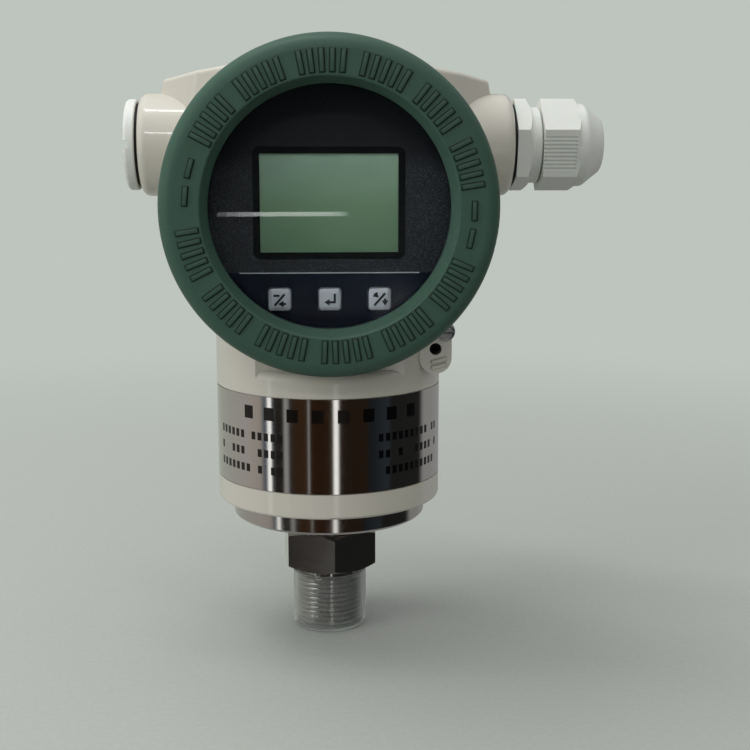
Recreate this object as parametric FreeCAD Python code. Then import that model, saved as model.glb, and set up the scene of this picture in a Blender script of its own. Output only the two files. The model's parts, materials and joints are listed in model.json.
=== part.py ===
import FreeCAD, Part
import math
import os
from FreeCAD import Placement, Rotation, Vector

# Pressure transmitter with a two-compartment aluminium head, in millimetres.
# +Z points up along the neck and -Y is the way the display faces. The origin is on the neck's
# axis, at the free end of the process thread. The conduit entries lie along X.

# ---------------------------------------------------------------- driving dimensions
# process connection and sensor body, turned from one bar
THREAD_RADIUS = 9.9            # crest of the M20 x 1.5 process thread
THREAD_LENGTH = 15.5
THREAD_CHAMFER = 0.9
RELIEF_RADIUS = 8.6
RELIEF_LENGTH = 2.5
PORT_RADIUS = 1.5              # pressure port
HEX_ACROSS_FLATS = 27.0
HEX_HEIGHT = 12.0
HEX_TURN = 5.0                 # degrees that the hexagon is turned past square
NECK_RADIUS = 12.5
NECK_HEIGHT = 5.1
FLANGE_RADIUS = 29.4
FLANGE_HEIGHT = 6.0
FLANGE_CHAMFER = 0.8
SPIGOT_RADIUS = 24.0
SPIGOT_HEIGHT = 12.0
SPIGOT_GROOVE_HEIGHT = 2.2
SPIGOT_GROOVE_DEPTH = 2.0
CAPSULE_RADIUS = 19.0
CAPSULE_HEIGHT = 16.0
CAPSULE_STEP_RADIUS = 11.4
CAPSULE_STEP_HEIGHT = 9.6
CAPSULE_EDGE_RADIUS = 1.5
CAPSULE_HEADROOM = 2.0

# plastic cap pushed over the process thread
CAP_RADIUS = 11.45
CAP_WALL = 0.9
CAP_FLOOR = 1.4
CAP_LENGTH = 17.9
CAP_END_CLEARANCE = 0.4
CAP_EDGE_RADIUS = 2.0

# round collar of the casting, with the steel plate wrapped around it
COLLAR_RADIUS = 34.0
COLLAR_EDGE_RADIUS = 0.8
COLLAR_LIP_HEIGHT = 7.3        # plain casting below the plate
BAND_HEIGHT = 28.0
BAND_THICKNESS = 0.5
BAND_EDGE_GAP = 0.25
BAND_SEAT_CLEARANCE = 0.05
BAND_SPLIT = 5.0               # opening between the strip's two ends, at the back
SHOULDER_HEIGHT = 6.9          # plain casting above the plate, up to the shoulder
SHOULDER_EDGE_RADIUS = 2.5
RIVET_RADIUS = 1.0
RIVET_HEAD_RADIUS = 1.7
RIVET_HEAD_HEIGHT = 0.7
RIVET_SEAT = 0.15              # flat head clears the curve of the strip by this much
RIVET_LENGTH = 3.0
RIVET_EDGE_MARGIN = 1.2        # from a rivet's head to the strip's end
RIVET_SHARES = (0.2, 0.8)      # places up the strip's width

# barrel of the head, which holds the two compartments
HEAD_ABOVE_BAND = 53.7         # barrel axis above the plate's upper edge
BARREL_RADIUS = 43.0
BARREL_HALF_LENGTH = 26.5
BARREL_EDGE_RADIUS = 1.0
THREAD_BORE_RADIUS = 39.7      # female thread that takes a cover
THREAD_BORE_DEPTH = 12.0
MOUTH_RADIUS = 40.5            # counterbore for a cover's O-ring
MOUTH_DEPTH = 2.9
REAR_BORE_RADIUS = 34.0
PARTITION_THICKNESS = 4.0
LEAD_HOLE_RADIUS = 3.5
LEAD_HOLE_RISE = 20.0          # lead hole above the barrel axis

# conduit arms and the shoulders that roof them
ARM_ABOVE_HEAD = 17.0
ARM_RADIUS = 15.0
ARM_REACH = 54.7
ARM_EDGE_RADIUS = 2.6
CONDUIT_BORE_RADIUS = 9.3
ROOF_RISE = 41.0               # top of the crown above the barrel axis
ROOF_CROWN_RADIUS = 218.0
ROOF_HALF_LENGTH_LOW = 51.5
ROOF_HALF_LENGTH_HIGH = 46.5
ROOF_HALF_DEPTH = 17.5
ROOF_END_HALF_DEPTH = 3.0
ROOF_END_RADIUS = 2.4
ROOF_KNEE_HALF_DEPTH = 11.5
ROOF_KNEE_SHARE = 0.8          # knee's place along the half length
ROOF_WAIST_SHARE = 0.5
ROOF_KNEE_RADIUS = 9.0
ROOF_EDGE_RADIUS = 1.4

# lug with the cover lock screw and the earth screw
LUG_X = 30.8
LUG_BELOW_HEAD = 41.5
LUG_HALF_WIDTH = 4.7
LUG_TOP_RISE = 10.0
LUG_BOTTOM_DROP = 7.2
LUG_FRONT = 22.0               # front face of the lug, ahead of the neck's axis
LUG_DEPTH = 17.0
LUG_EDGE_RADIUS = 1.5
LUG_FOOT_RADIUS = 4.5          # rounding of the lug's lower corners
LUG_BEAD_COUNT = 2
LUG_BEAD_HEIGHT = 1.3
LUG_BEAD_PROUD = 0.7
LUG_BEAD_EDGE_RADIUS = 0.4
LUG_BEAD_DROP = 3.6            # upper bead's middle below the lock hole
LUG_BEAD_PITCH = 1.7
LUG_BEAD_TILT = 14.0           # degrees that the beads rise towards the outside
LUG_BEAD_START = 1.4           # beads' inner ends, on this side of the lock hole
LUG_BEAD_END = 3.7             # and their outer ends, beyond it
LOCK_HOLE_RADIUS = 1.75
LOCK_HOLE_DEPTH = 13.6
LOCK_SCREW_LENGTH = 7.0
LOCK_SCREW_SETBACK = 3.5
LOCK_SCREW_CLEARANCE = 0.05
LOCK_SOCKET_ACROSS_FLATS = 1.8
LOCK_SOCKET_DEPTH = 1.9
EARTH_SCREW_RISE = 5.2         # earth screw above the lock screw
EARTH_SCREW_OUT = 2.7          # and further out
EARTH_HEAD_RADIUS = 2.7
EARTH_HEAD_HEIGHT = 2.1
EARTH_SHANK_RADIUS = 1.3
EARTH_SHANK_LENGTH = 6.0
EARTH_WASHER_RADIUS = 2.9
EARTH_WASHER_THICKNESS = 0.6

# covers
COVER_RADIUS = 45.5
COVER_GAP = 0.3                # rim to barrel with the cover screwed home
COVER_SKIRT_RADIUS = 39.4
COVER_SKIRT_BORE = 36.2
COVER_SKIRT_LENGTH = 10.5
COVER_GROOVE_RADIUS = 37.6
COVER_SEAL_SECTION = 1.2       # radius of the O-ring's section
COVER_SEAL_CLEARANCE = 0.05
COVER_GROOVE_LENGTH = 2.6
COVER_RIM_EDGE_RADIUS = 1.0    # where the rim meets the barrel
FRONT_RIM_LENGTH = 22.0
FRONT_FACE_RADIUS = 34.3       # inner edge of the front face
FRONT_EDGE_RADIUS = 4.0
FRONT_LIP_RADIUS = 0.6         # edge between the face and the sloping wall inside it
WINDOW_LAND = 2.0              # plain bore in front of the window's ledge
WINDOW_RADIUS = 32.6
WINDOW_SETBACK = 6.5           # ledge that the window bears on, behind the front face
GLASS_THICKNESS = 6.0
GLASS_CLEARANCE = 0.3
GLASS_EDGE_RADIUS = 0.5
WINDOW_GASKET_THICKNESS = 0.8
WINDOW_GASKET_WIDTH = 2.6
GLASS_RING_THICKNESS = 3.5
GLASS_RING_WIDTH = 2.6
GLASS_RING_CLEARANCE = 0.1
SPANNER_SLOT_WIDTH = 3.0
SPANNER_SLOT_DEPTH = 1.5
REAR_RIM_LENGTH = 15.0
REAR_WALL = 5.0
REAR_EDGE_RADIUS = 4.0
REAR_PANEL_RADIUS = 34.0
REAR_PANEL_DEPTH = 1.6
REAR_PANEL_EDGE_RADIUS = 0.8
REAR_CORNER_RADIUS = 2.0       # inside corner of the rear cover
GRIP_COUNT = 4
GRIP_WIDTH = 7.0
GRIP_LENGTH = 13.0
GRIP_SETBACK = 0.3             # grips end this far below the cover's back

# display module
OVERLAY_RADIUS = 34.2
OVERLAY_THICKNESS = 0.8
OVERLAY_AHEAD = 3.5            # front of the overlay ahead of the barrel's end
LCD_WIDTH = 38.2
LCD_HEIGHT = 27.0
LCD_RISE = 0.9                 # window's centre above the barrel axis
LCD_BORDER = 1.5               # panel's edge hidden behind the overlay, all round
LCD_THICKNESS = 2.4
LCD_CLEARANCE = 0.1
CASE_RADIUS = 34.5
CASE_LENGTH = 9.2
CASE_WALL = 2.0
CASE_FRONT_WALL = 6.2
KEY_SIDE = 6.0
KEY_CORNER_RADIUS = 1.1
KEY_EDGE_RADIUS = 0.5
KEY_PITCH = 13.9
KEY_DROP = 25.6                # row of keys below the barrel axis
KEY_PROUD = 1.0
KEY_CLEARANCE = 0.3
KEY_FLANGE_EXTRA = 0.7
KEY_FLANGE_THICKNESS = 0.8
KEY_FLANGE_GAP = 0.1           # flange to the back of the overlay
KEY_STEM_RADIUS = 1.5
KEY_STEM_LENGTH = 1.5
KEY_TRAVEL = 0.6
KEY_STOP_CLEARANCE = 0.4
BOARD_THICKNESS = 1.6
DISPLAY_BOARD_CLEARANCE = 0.4
MAIN_BOARD_RADIUS = 34.0
STANDOFF_RADIUS = 2.5
STANDOFF_HEIGHT = 2.5
STANDOFF_CIRCLE = 24.0
STANDOFF_COUNT = 3
BOARD_SCREW_RADIUS = 1.4
BOARD_SCREW_HEAD_RADIUS = 2.4
BOARD_SCREW_HEAD_HEIGHT = 1.2
POST_RADIUS = 2.2
POST_SPACING = 58.0
POST_CLEARANCE = 0.4

# terminal compartment
BLOCK_WIDTH = 44.0
BLOCK_HEIGHT = 24.0
BLOCK_DEPTH = 13.0
BLOCK_DROP = 10.0              # block's centre below the barrel axis
TERMINAL_COUNT = 4
TERMINAL_PITCH = 10.0
TERMINAL_RADIUS = 3.2
TERMINAL_WELL_DEPTH = 4.0
TERMINAL_WELL_WALL = 2.0       # wall between two wells
TERMINAL_WELL_FLOOR = 6.0      # block left below a well, which is open at its top
TERMINAL_HEAD_HEIGHT = 2.2
TERMINAL_SHANK_RADIUS = 1.6
TERMINAL_SHANK_LENGTH = 5.0
BLOCK_FOOT_WIDTH = 5.5
BLOCK_FOOT_DEPTH = 5.0
BLOCK_FOOT_HEIGHT = 12.0
BLOCK_CORNER_RADIUS = 2.0
BLOCK_SCREW_RADIUS = 1.6
BLOCK_SCREW_HEAD_RADIUS = 2.6
BLOCK_SCREW_HEAD_HEIGHT = 1.6
INNER_EARTH_X = 0.0
INNER_EARTH_RISE = 8.0
SCREW_DEPTH = 3.0              # fixing screw's length in the casting

# cable gland and blanking plug, both for the conduit thread
CONDUIT_THREAD_RADIUS = 9.0
CONDUIT_THREAD_LENGTH = 12.0
CONDUIT_SEAL_THICKNESS = 0.8
CONDUIT_SEAL_RADIUS = 12.1
GLAND_ACROSS_FLATS = 24.0
GLAND_HEX_LENGTH = 4.5
GLAND_TURN = 12.0              # degrees that the gland's corners stand past square
GLAND_NECK_RADIUS = 11.2
GLAND_NECK_LENGTH = 3.0
GLAND_THREAD_RADIUS = 9.7
GLAND_THREAD_LENGTH = 10.0
GLAND_BORE_RADIUS = 7.4
GLAND_SEAL_RADIUS = 7.0
GLAND_SEAL_LENGTH = 12.5
CABLE_RADIUS = 5.5
CABLE_CLEARANCE = 0.6          # round the cable in the gland's body
GLAND_SEAL_PROUD = 3.0         # bush stands this far out of the body
GLAND_SEAL_EDGE_RADIUS = 1.0
GLAND_NECK_EDGE_RADIUS = 0.4
NUT_LENGTH = 11.2
NUT_DOME_LENGTH = 7.6
NUT_DOME_RADIUS = 12.2
NUT_MOUTH_RADIUS = 6.8
NUT_BORE_RADIUS = 10.0
NUT_GAP = 0.3
NUT_DOME_SHOULDER = 1.9        # straight side of the dome before it curves in
NUT_DOME_SHOULDER_RADIUS = 2.0
NUT_DOME_LIP = 0.8             # flat lip round the mouth
NUT_DOME_LIP_RADIUS = 2.4
NUT_CHAMBER_EXTRA = 1.2        # plain bore beyond the grip
NUT_MOUTH_LENGTH = 1.6
NUT_CONE_STEP = 0.5            # step that the bush bears on at the mouth
NUT_GROOVE_END = 1.5           # grooves stop this far from the dome
NUT_GROOVES_PER_FACE = 9
NUT_GROOVE_PITCH = 1.15
NUT_GROOVE_DEPTH = 0.4
NUT_RIBBED_FACES = 3
PLUG_RADIUS = 13.2
PLUG_HEAD_LENGTH = 3.2
PLUG_EDGE_RADIUS = 1.2
PLUG_BACK_RADIUS = 0.5
PLUG_END_RADIUS = 0.8
PLUG_SLOT_WIDTH = 2.4
PLUG_SLOT_DEPTH = 1.6

# ---------------------------------------------------------------- places that follow from them
RELIEF_Z = THREAD_LENGTH
HEX_Z = RELIEF_Z + RELIEF_LENGTH
NECK_Z = HEX_Z + HEX_HEIGHT
FLANGE_Z = NECK_Z + NECK_HEIGHT
COLLAR_Z = FLANGE_Z + FLANGE_HEIGHT
BAND_Z = COLLAR_Z + COLLAR_LIP_HEIGHT
BAND_TOP_Z = BAND_Z + BAND_HEIGHT
SHOULDER_Z = BAND_TOP_Z + SHOULDER_HEIGHT
HEAD_Z = BAND_TOP_Z + HEAD_ABOVE_BAND
ARM_Z = HEAD_Z + ARM_ABOVE_HEAD
LUG_Z = HEAD_Z - LUG_BELOW_HEAD
PARTITION_FRONT = -BARREL_HALF_LENGTH + THREAD_BORE_DEPTH
PARTITION_BACK = PARTITION_FRONT + PARTITION_THICKNESS
OVERLAY_Y = -BARREL_HALF_LENGTH - OVERLAY_AHEAD
CASE_Y = OVERLAY_Y + OVERLAY_THICKNESS
BOARD_SEAT_Y = CASE_Y + CASE_FRONT_WALL
MAIN_BOARD_Y = PARTITION_FRONT - STANDOFF_HEIGHT - BOARD_THICKNESS
GLASS_OUTER_RADIUS = COVER_SKIRT_BORE - GLASS_CLEARANCE
LEDGE = FRONT_RIM_LENGTH - WINDOW_SETBACK
GLASS_FRONT = LEDGE - WINDOW_GASKET_THICKNESS
GLASS_BACK = GLASS_FRONT - GLASS_THICKNESS

EAST = Vector(1, 0, 0)
BACK = Vector(0, 1, 0)
UP = Vector(0, 0, 1)
WEST = Vector(-1, 0, 0)
FRONT = Vector(0, -1, 0)
DOWN = Vector(0, 0, -1)
JOIN_DEPTH = 1.0               # how far a form runs into the one it is fused with
SCREW_EDGE_SHARE = 0.4         # rounding of a screw's head, of the head's height
SCREW_SLOT_SHARE = 0.24        # slot's width, of the head's radius
SCREW_SLOT_DEPTH_SHARE = 0.5
RIVET_EDGE_SHARE = 0.6         # rounding of a rivet's head, of the head's height


# ---------------------------------------------------------------- shared ways of making a form
def rounded_wire(corners):
    """Closed wire in the XZ plane through (x, z) or (x, z, radius) corners, turned with arcs."""
    points = [Vector(corner[0], 0, corner[1]) for corner in corners]
    radii = [corner[2] if len(corner) > 2 else 0 for corner in corners]
    arrivals, departures, tops = [], [], []
    for index, point in enumerate(points):
        before = (points[index - 1] - point).normalize()
        after = (points[(index + 1) % len(points)] - point).normalize()
        half_angle = before.getAngle(after) / 2
        bisector = before + after
        reach = radii[index] / math.tan(half_angle)
        arrivals.append(point + before * reach)
        departures.append(point + after * reach)
        if radii[index]:
            bisector.normalize()
            tops.append(point + bisector * radii[index] * (1 / math.sin(half_angle) - 1))
        else:
            tops.append(point)
    edges = []
    for index in range(len(points)):
        if radii[index]:
            edges.append(Part.Arc(arrivals[index], tops[index], departures[index]).toShape())
        following = arrivals[(index + 1) % len(points)]
        if departures[index].distanceToPoint(following) > 1e-6:
            edges.append(Part.LineSegment(departures[index], following).toShape())
    return Part.Wire(edges)


def placed(shape, base, direction):
    """The shape, made along +Z from the origin, moved to base and turned to direction."""
    shape.Placement = Placement(base, Rotation(UP, direction))
    return shape


def turned(profile, base, direction):
    """Solid turned about an axis: the profile's corners are (radius, distance along the axis)."""
    face = Part.Face(rounded_wire(profile))
    return placed(face.revolve(Vector(0, 0, 0), UP, 360), base, direction)


def rod(radius, length, base, direction):
    return Part.makeCylinder(radius, length, base, direction)


def tube(outer, inner, length, base, direction):
    return rod(outer, length, base, direction).cut(rod(inner, length, base, direction))


def ring(centre_radius, section_radius, centre, direction):
    """O-ring of round section."""
    return Part.makeTorus(centre_radius, section_radius, centre, direction)


def block(x_low, x_high, y_low, y_high, z_low, z_high):
    return Part.makeBox(x_high - x_low, y_high - y_low, z_high - z_low, Vector(x_low, y_low, z_low))


def hexagon_prism(across_flats, length, base, direction, turn, chamfered):
    """Hexagonal bar with a corner at `turn` degrees from its X; chamfered ends are 30 degree cones."""
    corner = across_flats / 2 / math.cos(math.pi / 6)
    angles = [math.radians(turn + 60 * side) for side in range(7)]
    outline = Part.makePolygon([Vector(corner * math.cos(a), corner * math.sin(a), 0) for a in angles])
    prism = Part.Face(outline).extrude(Vector(0, 0, length))
    drop = (corner - across_flats / 2) * math.tan(math.pi / 6)
    flat = across_flats / 2
    profile = [(0, 0), (flat, 0), (corner, drop), (corner, length - drop), (flat, length), (0, length)]
    if not chamfered:
        profile = [(0, 0), (corner, 0), (corner, length - drop), (flat, length), (0, length)]
    envelope = Part.Face(rounded_wire(profile)).revolve(Vector(0, 0, 0), UP, 360)
    return placed(prism.common(envelope), base, direction)


def screw(shank_radius, shank_length, head_radius, head_height, seat, direction):
    """Pan-head screw: the head stands up from its seat along direction, the shank goes below."""
    edge = head_height * SCREW_EDGE_SHARE
    profile = [(0, -shank_length), (shank_radius, -shank_length), (shank_radius, 0), (head_radius, 0),
               (head_radius, head_height, edge), (0, head_height)]
    slot_half = head_radius * SCREW_SLOT_SHARE / 2
    slot_floor = head_height * (1 - SCREW_SLOT_DEPTH_SHARE)
    body = turned(profile, Vector(0, 0, 0), UP)
    slot = block(-head_radius, head_radius, -slot_half, slot_half, slot_floor, head_height)
    return placed(body.cut(slot), seat, direction)


def group(shapes):
    """Separate solids of one kind, kept as one node."""
    return Part.makeCompound(shapes)


def laid_east(shape, base):
    """The shape, already turned about Z, laid along X from base."""
    shape.Placement = Placement(base, Rotation(UP, EAST)).multiply(shape.Placement)
    return shape


# ---------------------------------------------------------------- sensor and process connection
def make_sensor_body():
    """One turned steel piece: thread, relief, hexagon, neck, flange and the spigot in the head."""
    top = COLLAR_Z + SPIGOT_HEIGHT
    groove_low = COLLAR_Z + (SPIGOT_HEIGHT - SPIGOT_GROOVE_HEIGHT) / 2
    groove_high = groove_low + SPIGOT_GROOVE_HEIGHT
    groove_radius = SPIGOT_RADIUS - SPIGOT_GROOVE_DEPTH
    profile = [(PORT_RADIUS, 0), (THREAD_RADIUS - THREAD_CHAMFER, 0), (THREAD_RADIUS, THREAD_CHAMFER),
               (THREAD_RADIUS, RELIEF_Z - THREAD_CHAMFER), (RELIEF_RADIUS, RELIEF_Z),
               (RELIEF_RADIUS, HEX_Z + JOIN_DEPTH), (NECK_RADIUS, HEX_Z + JOIN_DEPTH),
               (NECK_RADIUS, FLANGE_Z), (FLANGE_RADIUS - FLANGE_CHAMFER, FLANGE_Z),
               (FLANGE_RADIUS, FLANGE_Z + FLANGE_CHAMFER), (FLANGE_RADIUS, COLLAR_Z),
               (SPIGOT_RADIUS, COLLAR_Z), (SPIGOT_RADIUS, groove_low), (groove_radius, groove_low),
               (groove_radius, groove_high), (SPIGOT_RADIUS, groove_high), (SPIGOT_RADIUS, top),
               (PORT_RADIUS, top)]
    body = turned(profile, Vector(0, 0, 0), UP)
    base = Vector(0, 0, HEX_Z)
    prism = hexagon_prism(HEX_ACROSS_FLATS, HEX_HEIGHT, base, UP, HEX_TURN - 90, True)
    return body.fuse(prism.cut(rod(RELIEF_RADIUS - JOIN_DEPTH, HEX_HEIGHT, base, UP))).removeSplitter()


def make_sensor_seal():
    section = SPIGOT_GROOVE_DEPTH / 2
    middle = Vector(0, 0, COLLAR_Z + SPIGOT_HEIGHT / 2)
    return ring(SPIGOT_RADIUS - section, section, middle, UP)


def make_sensor_capsule():
    """Measuring cell on top of the spigot, with its stepped cap."""
    profile = [(0, 0), (CAPSULE_RADIUS, 0), (CAPSULE_RADIUS, CAPSULE_STEP_HEIGHT, CAPSULE_EDGE_RADIUS),
               (CAPSULE_STEP_RADIUS, CAPSULE_STEP_HEIGHT),
               (CAPSULE_STEP_RADIUS, CAPSULE_HEIGHT, CAPSULE_EDGE_RADIUS), (0, CAPSULE_HEIGHT)]
    return turned(profile, Vector(0, 0, COLLAR_Z + SPIGOT_HEIGHT), UP)


def make_thread_cap():
    floor_z = -CAP_END_CLEARANCE - CAP_FLOOR
    bore = CAP_RADIUS - CAP_WALL
    profile = [(0, floor_z), (CAP_RADIUS, floor_z, CAP_EDGE_RADIUS), (CAP_RADIUS, floor_z + CAP_LENGTH),
               (bore, floor_z + CAP_LENGTH), (bore, floor_z + CAP_FLOOR), (0, floor_z + CAP_FLOOR)]
    return turned(profile, Vector(0, 0, 0), UP)


# ---------------------------------------------------------------- casting
def roof_outline(half_length, height):
    """Plan of the shoulders: a long shape that narrows to each end, its corners turned in arcs."""
    quarter = [(half_length, ROOF_END_HALF_DEPTH, ROOF_END_RADIUS),
               (half_length * ROOF_KNEE_SHARE, ROOF_KNEE_HALF_DEPTH, ROOF_KNEE_RADIUS),
               (half_length * ROOF_WAIST_SHARE, ROOF_HALF_DEPTH, ROOF_KNEE_RADIUS)]
    left_back = [(-x, y, r) for x, y, r in reversed(quarter)]
    left_front = [(-x, -y, r) for x, y, r in quarter]
    right_front = [(x, -y, r) for x, y, r in reversed(quarter)]
    wire = rounded_wire(quarter + left_back + left_front + right_front)
    wire.rotate(Vector(0, 0, 0), EAST, 90)
    wire.translate(Vector(0, 0, height))
    return wire


def make_crown_envelope():
    """Slab under the crowned top surface of the shoulders."""
    half = ROOF_HALF_LENGTH_LOW
    depth = ROOF_HALF_DEPTH + JOIN_DEPTH
    apex = HEAD_Z + ROOF_RISE
    edge_z = apex - (ROOF_CROWN_RADIUS - math.sqrt(ROOF_CROWN_RADIUS ** 2 - half ** 2))
    crown = Part.Arc(Vector(-half, -depth, edge_z), Vector(0, -depth, apex), Vector(half, -depth, edge_z))
    sides = Part.makePolygon([Vector(half, -depth, edge_z), Vector(half, -depth, HEAD_Z),
                              Vector(-half, -depth, HEAD_Z), Vector(-half, -depth, edge_z)])
    return Part.Face(Part.Wire([crown.toShape()] + sides.Edges)).extrude(Vector(0, depth * 2, 0))


def make_roof():
    """Crowned shoulders over the conduit arms, drafted inward towards the top."""
    low = roof_outline(ROOF_HALF_LENGTH_LOW, ARM_Z)
    high = roof_outline(ROOF_HALF_LENGTH_HIGH, HEAD_Z + ROOF_RISE + JOIN_DEPTH)
    roof = Part.makeLoft([low, high], True, True).common(make_crown_envelope())
    top = max(roof.Faces, key=lambda face: face.CenterOfMass.z)
    return roof.makeFillet(ROOF_EDGE_RADIUS, top.Edges)


def make_arms():
    """Both conduit arms as one turned bar across the head."""
    profile = [(0, -ARM_REACH), (ARM_RADIUS, -ARM_REACH, ARM_EDGE_RADIUS),
               (ARM_RADIUS, ARM_REACH, ARM_EDGE_RADIUS), (0, ARM_REACH)]
    return turned(profile, Vector(0, 0, ARM_Z), EAST)


def lug_beads():
    """Raised beads across the lug's front face, below the lock hole."""
    beads = []
    half = LUG_BEAD_HEIGHT / 2
    corner = half * 0.9
    for index in range(LUG_BEAD_COUNT):
        z = LUG_Z - LUG_BEAD_DROP - index * LUG_BEAD_PITCH
        left = LUG_X - LUG_BEAD_START
        right = LUG_X + LUG_BEAD_END
        outline = rounded_wire([(left, z - half, corner), (right, z - half, corner),
                                (right, z + half, corner), (left, z + half, corner)])
        bead = Part.Face(outline).extrude(Vector(0, LUG_BEAD_PROUD + JOIN_DEPTH, 0))
        front = min(bead.Faces, key=lambda face: face.CenterOfMass.y)
        bead = bead.makeFillet(LUG_BEAD_EDGE_RADIUS, front.Edges)
        bead.translate(Vector(0, -LUG_FRONT - LUG_BEAD_PROUD, 0))
        bead.rotate(Vector(LUG_X, 0, z), FRONT, LUG_BEAD_TILT)
        beads.append(bead)
    return beads


def make_lug():
    """Lug on the lower right of the head, for the lock screw and the earth screw."""
    left = LUG_X - LUG_HALF_WIDTH
    right = LUG_X + LUG_HALF_WIDTH
    low = LUG_Z - LUG_BOTTOM_DROP
    high = LUG_Z + LUG_TOP_RISE
    outline = rounded_wire([(left, low, LUG_FOOT_RADIUS), (right, low, LUG_FOOT_RADIUS),
                            (right, high, LUG_EDGE_RADIUS), (left, high)])
    lug = Part.Face(outline).extrude(Vector(0, LUG_DEPTH, 0))
    lug.translate(Vector(0, -LUG_FRONT, 0))
    return lug.fuse(lug_beads())


def make_neck():
    """Collar and waist that join the barrel to the sensor, with the recess for the plate."""
    recess = BAND_THICKNESS + BAND_SEAT_CLEARANCE
    profile = [(0, COLLAR_Z), (COLLAR_RADIUS, COLLAR_Z, COLLAR_EDGE_RADIUS), (COLLAR_RADIUS, BAND_Z),
               (COLLAR_RADIUS - recess, BAND_Z), (COLLAR_RADIUS - recess, BAND_TOP_Z),
               (COLLAR_RADIUS, BAND_TOP_Z), (COLLAR_RADIUS, SHOULDER_Z, SHOULDER_EDGE_RADIUS),
               (0, SHOULDER_Z)]
    collar = turned(profile, Vector(0, 0, 0), UP)
    waist_base = Vector(0, 0, SHOULDER_Z - SHOULDER_EDGE_RADIUS * 2)
    waist = rod(COLLAR_RADIUS, HEAD_Z - waist_base.z, waist_base, UP)
    slab = block(-COLLAR_RADIUS, COLLAR_RADIUS, -BARREL_HALF_LENGTH, BARREL_HALF_LENGTH, 0, HEAD_Z)
    return collar.fuse(waist.common(slab))


def make_compartments():
    """Everything bored out of the casting."""
    front_end = Vector(0, -BARREL_HALF_LENGTH, HEAD_Z)
    back_end = Vector(0, BARREL_HALF_LENGTH, HEAD_Z)
    rear_depth = BARREL_HALF_LENGTH - PARTITION_BACK
    cavity_top = COLLAR_Z + SPIGOT_HEIGHT + CAPSULE_HEIGHT + CAPSULE_HEADROOM
    partition_hole = Vector(0, PARTITION_FRONT, HEAD_Z + LEAD_HOLE_RISE)
    return [rod(THREAD_BORE_RADIUS, THREAD_BORE_DEPTH, front_end, BACK),
            rod(MOUTH_RADIUS, MOUTH_DEPTH, front_end, BACK),
            rod(THREAD_BORE_RADIUS, THREAD_BORE_DEPTH, back_end, FRONT),
            rod(MOUTH_RADIUS, MOUTH_DEPTH, back_end, FRONT),
            rod(REAR_BORE_RADIUS, rear_depth, back_end, FRONT),
            rod(CONDUIT_BORE_RADIUS, ARM_REACH * 2, Vector(-ARM_REACH, 0, ARM_Z), EAST),
            rod(SPIGOT_RADIUS, cavity_top - COLLAR_Z, Vector(0, 0, COLLAR_Z), UP),
            rod(LEAD_HOLE_RADIUS, HEAD_Z - cavity_top, Vector(0, 0, cavity_top), UP),
            rod(LEAD_HOLE_RADIUS, PARTITION_THICKNESS, partition_hole, BACK),
            rod(LOCK_HOLE_RADIUS, LOCK_HOLE_DEPTH, Vector(LUG_X, -LUG_FRONT, LUG_Z), BACK)]


def fixing_holes():
    """Holes of the screws, pillars and rivets that go into the casting."""
    holes = [rod(RIVET_RADIUS, RIVET_LENGTH + BAND_THICKNESS, seat, way * -1) for seat, way in rivet_seats()]
    holes += [rod(BOARD_SCREW_RADIUS, SCREW_DEPTH, Vector(x, PARTITION_FRONT, z), BACK)
              for x, z in standoff_spots()]
    holes += [rod(BLOCK_SCREW_RADIUS, SCREW_DEPTH, Vector(x, PARTITION_BACK, z), FRONT)
              for x, z in block_screw_spots()]
    holes.append(rod(BLOCK_SCREW_RADIUS, SCREW_DEPTH, inner_earth_seat(), FRONT))
    holes.append(rod(EARTH_SHANK_RADIUS, EARTH_SHANK_LENGTH, earth_seat(), BACK))
    return holes


def make_housing():
    """The casting: barrel, collar, conduit arms, shoulders and lug in one piece, then bored out."""
    barrel_profile = [(0, -BARREL_HALF_LENGTH), (BARREL_RADIUS, -BARREL_HALF_LENGTH, BARREL_EDGE_RADIUS),
                      (BARREL_RADIUS, BARREL_HALF_LENGTH, BARREL_EDGE_RADIUS), (0, BARREL_HALF_LENGTH)]
    barrel = turned(barrel_profile, Vector(0, 0, HEAD_Z), BACK)
    casting = barrel.fuse([make_neck(), make_arms(), make_roof(), make_lug()])
    return casting.cut(make_compartments() + fixing_holes()).removeSplitter()


# ---------------------------------------------------------------- plate around the collar
def rivet_seats():
    """Where the four rivets sit on the plate's outside, with the way each points."""
    angle_step = math.degrees((BAND_SPLIT / 2 + RIVET_HEAD_RADIUS + RIVET_EDGE_MARGIN) / COLLAR_RADIUS)
    seats = []
    for side in (-1, 1):
        for share in RIVET_SHARES:
            angle = math.radians(90 + side * angle_step)
            way = Vector(math.cos(angle), math.sin(angle), 0)
            seats.append((way * COLLAR_RADIUS + UP * (BAND_Z + BAND_HEIGHT * share), way))
    return seats


def make_nameplate_band():
    low = BAND_Z + BAND_EDGE_GAP
    height = BAND_HEIGHT - BAND_EDGE_GAP * 2
    strip = tube(COLLAR_RADIUS, COLLAR_RADIUS - BAND_THICKNESS, height, Vector(0, 0, low), UP)
    strip = strip.cut(block(-BAND_SPLIT / 2, BAND_SPLIT / 2, 0, COLLAR_RADIUS, low, low + height))
    return strip.cut([rod(RIVET_RADIUS, BAND_THICKNESS * 4, seat - way * BAND_THICKNESS * 2, way)
                      for seat, way in rivet_seats()])


def make_band_rivets():
    rivets = []
    for seat, way in rivet_seats():
        shank = RIVET_LENGTH + BAND_THICKNESS
        edge = RIVET_HEAD_HEIGHT * RIVET_EDGE_SHARE
        profile = [(0, -shank), (RIVET_RADIUS, -shank), (RIVET_RADIUS, RIVET_SEAT),
                   (RIVET_HEAD_RADIUS, RIVET_SEAT), (RIVET_HEAD_RADIUS, RIVET_HEAD_HEIGHT, edge),
                   (0, RIVET_HEAD_HEIGHT)]
        rivets.append(turned(profile, seat, way))
    return group(rivets)


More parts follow.
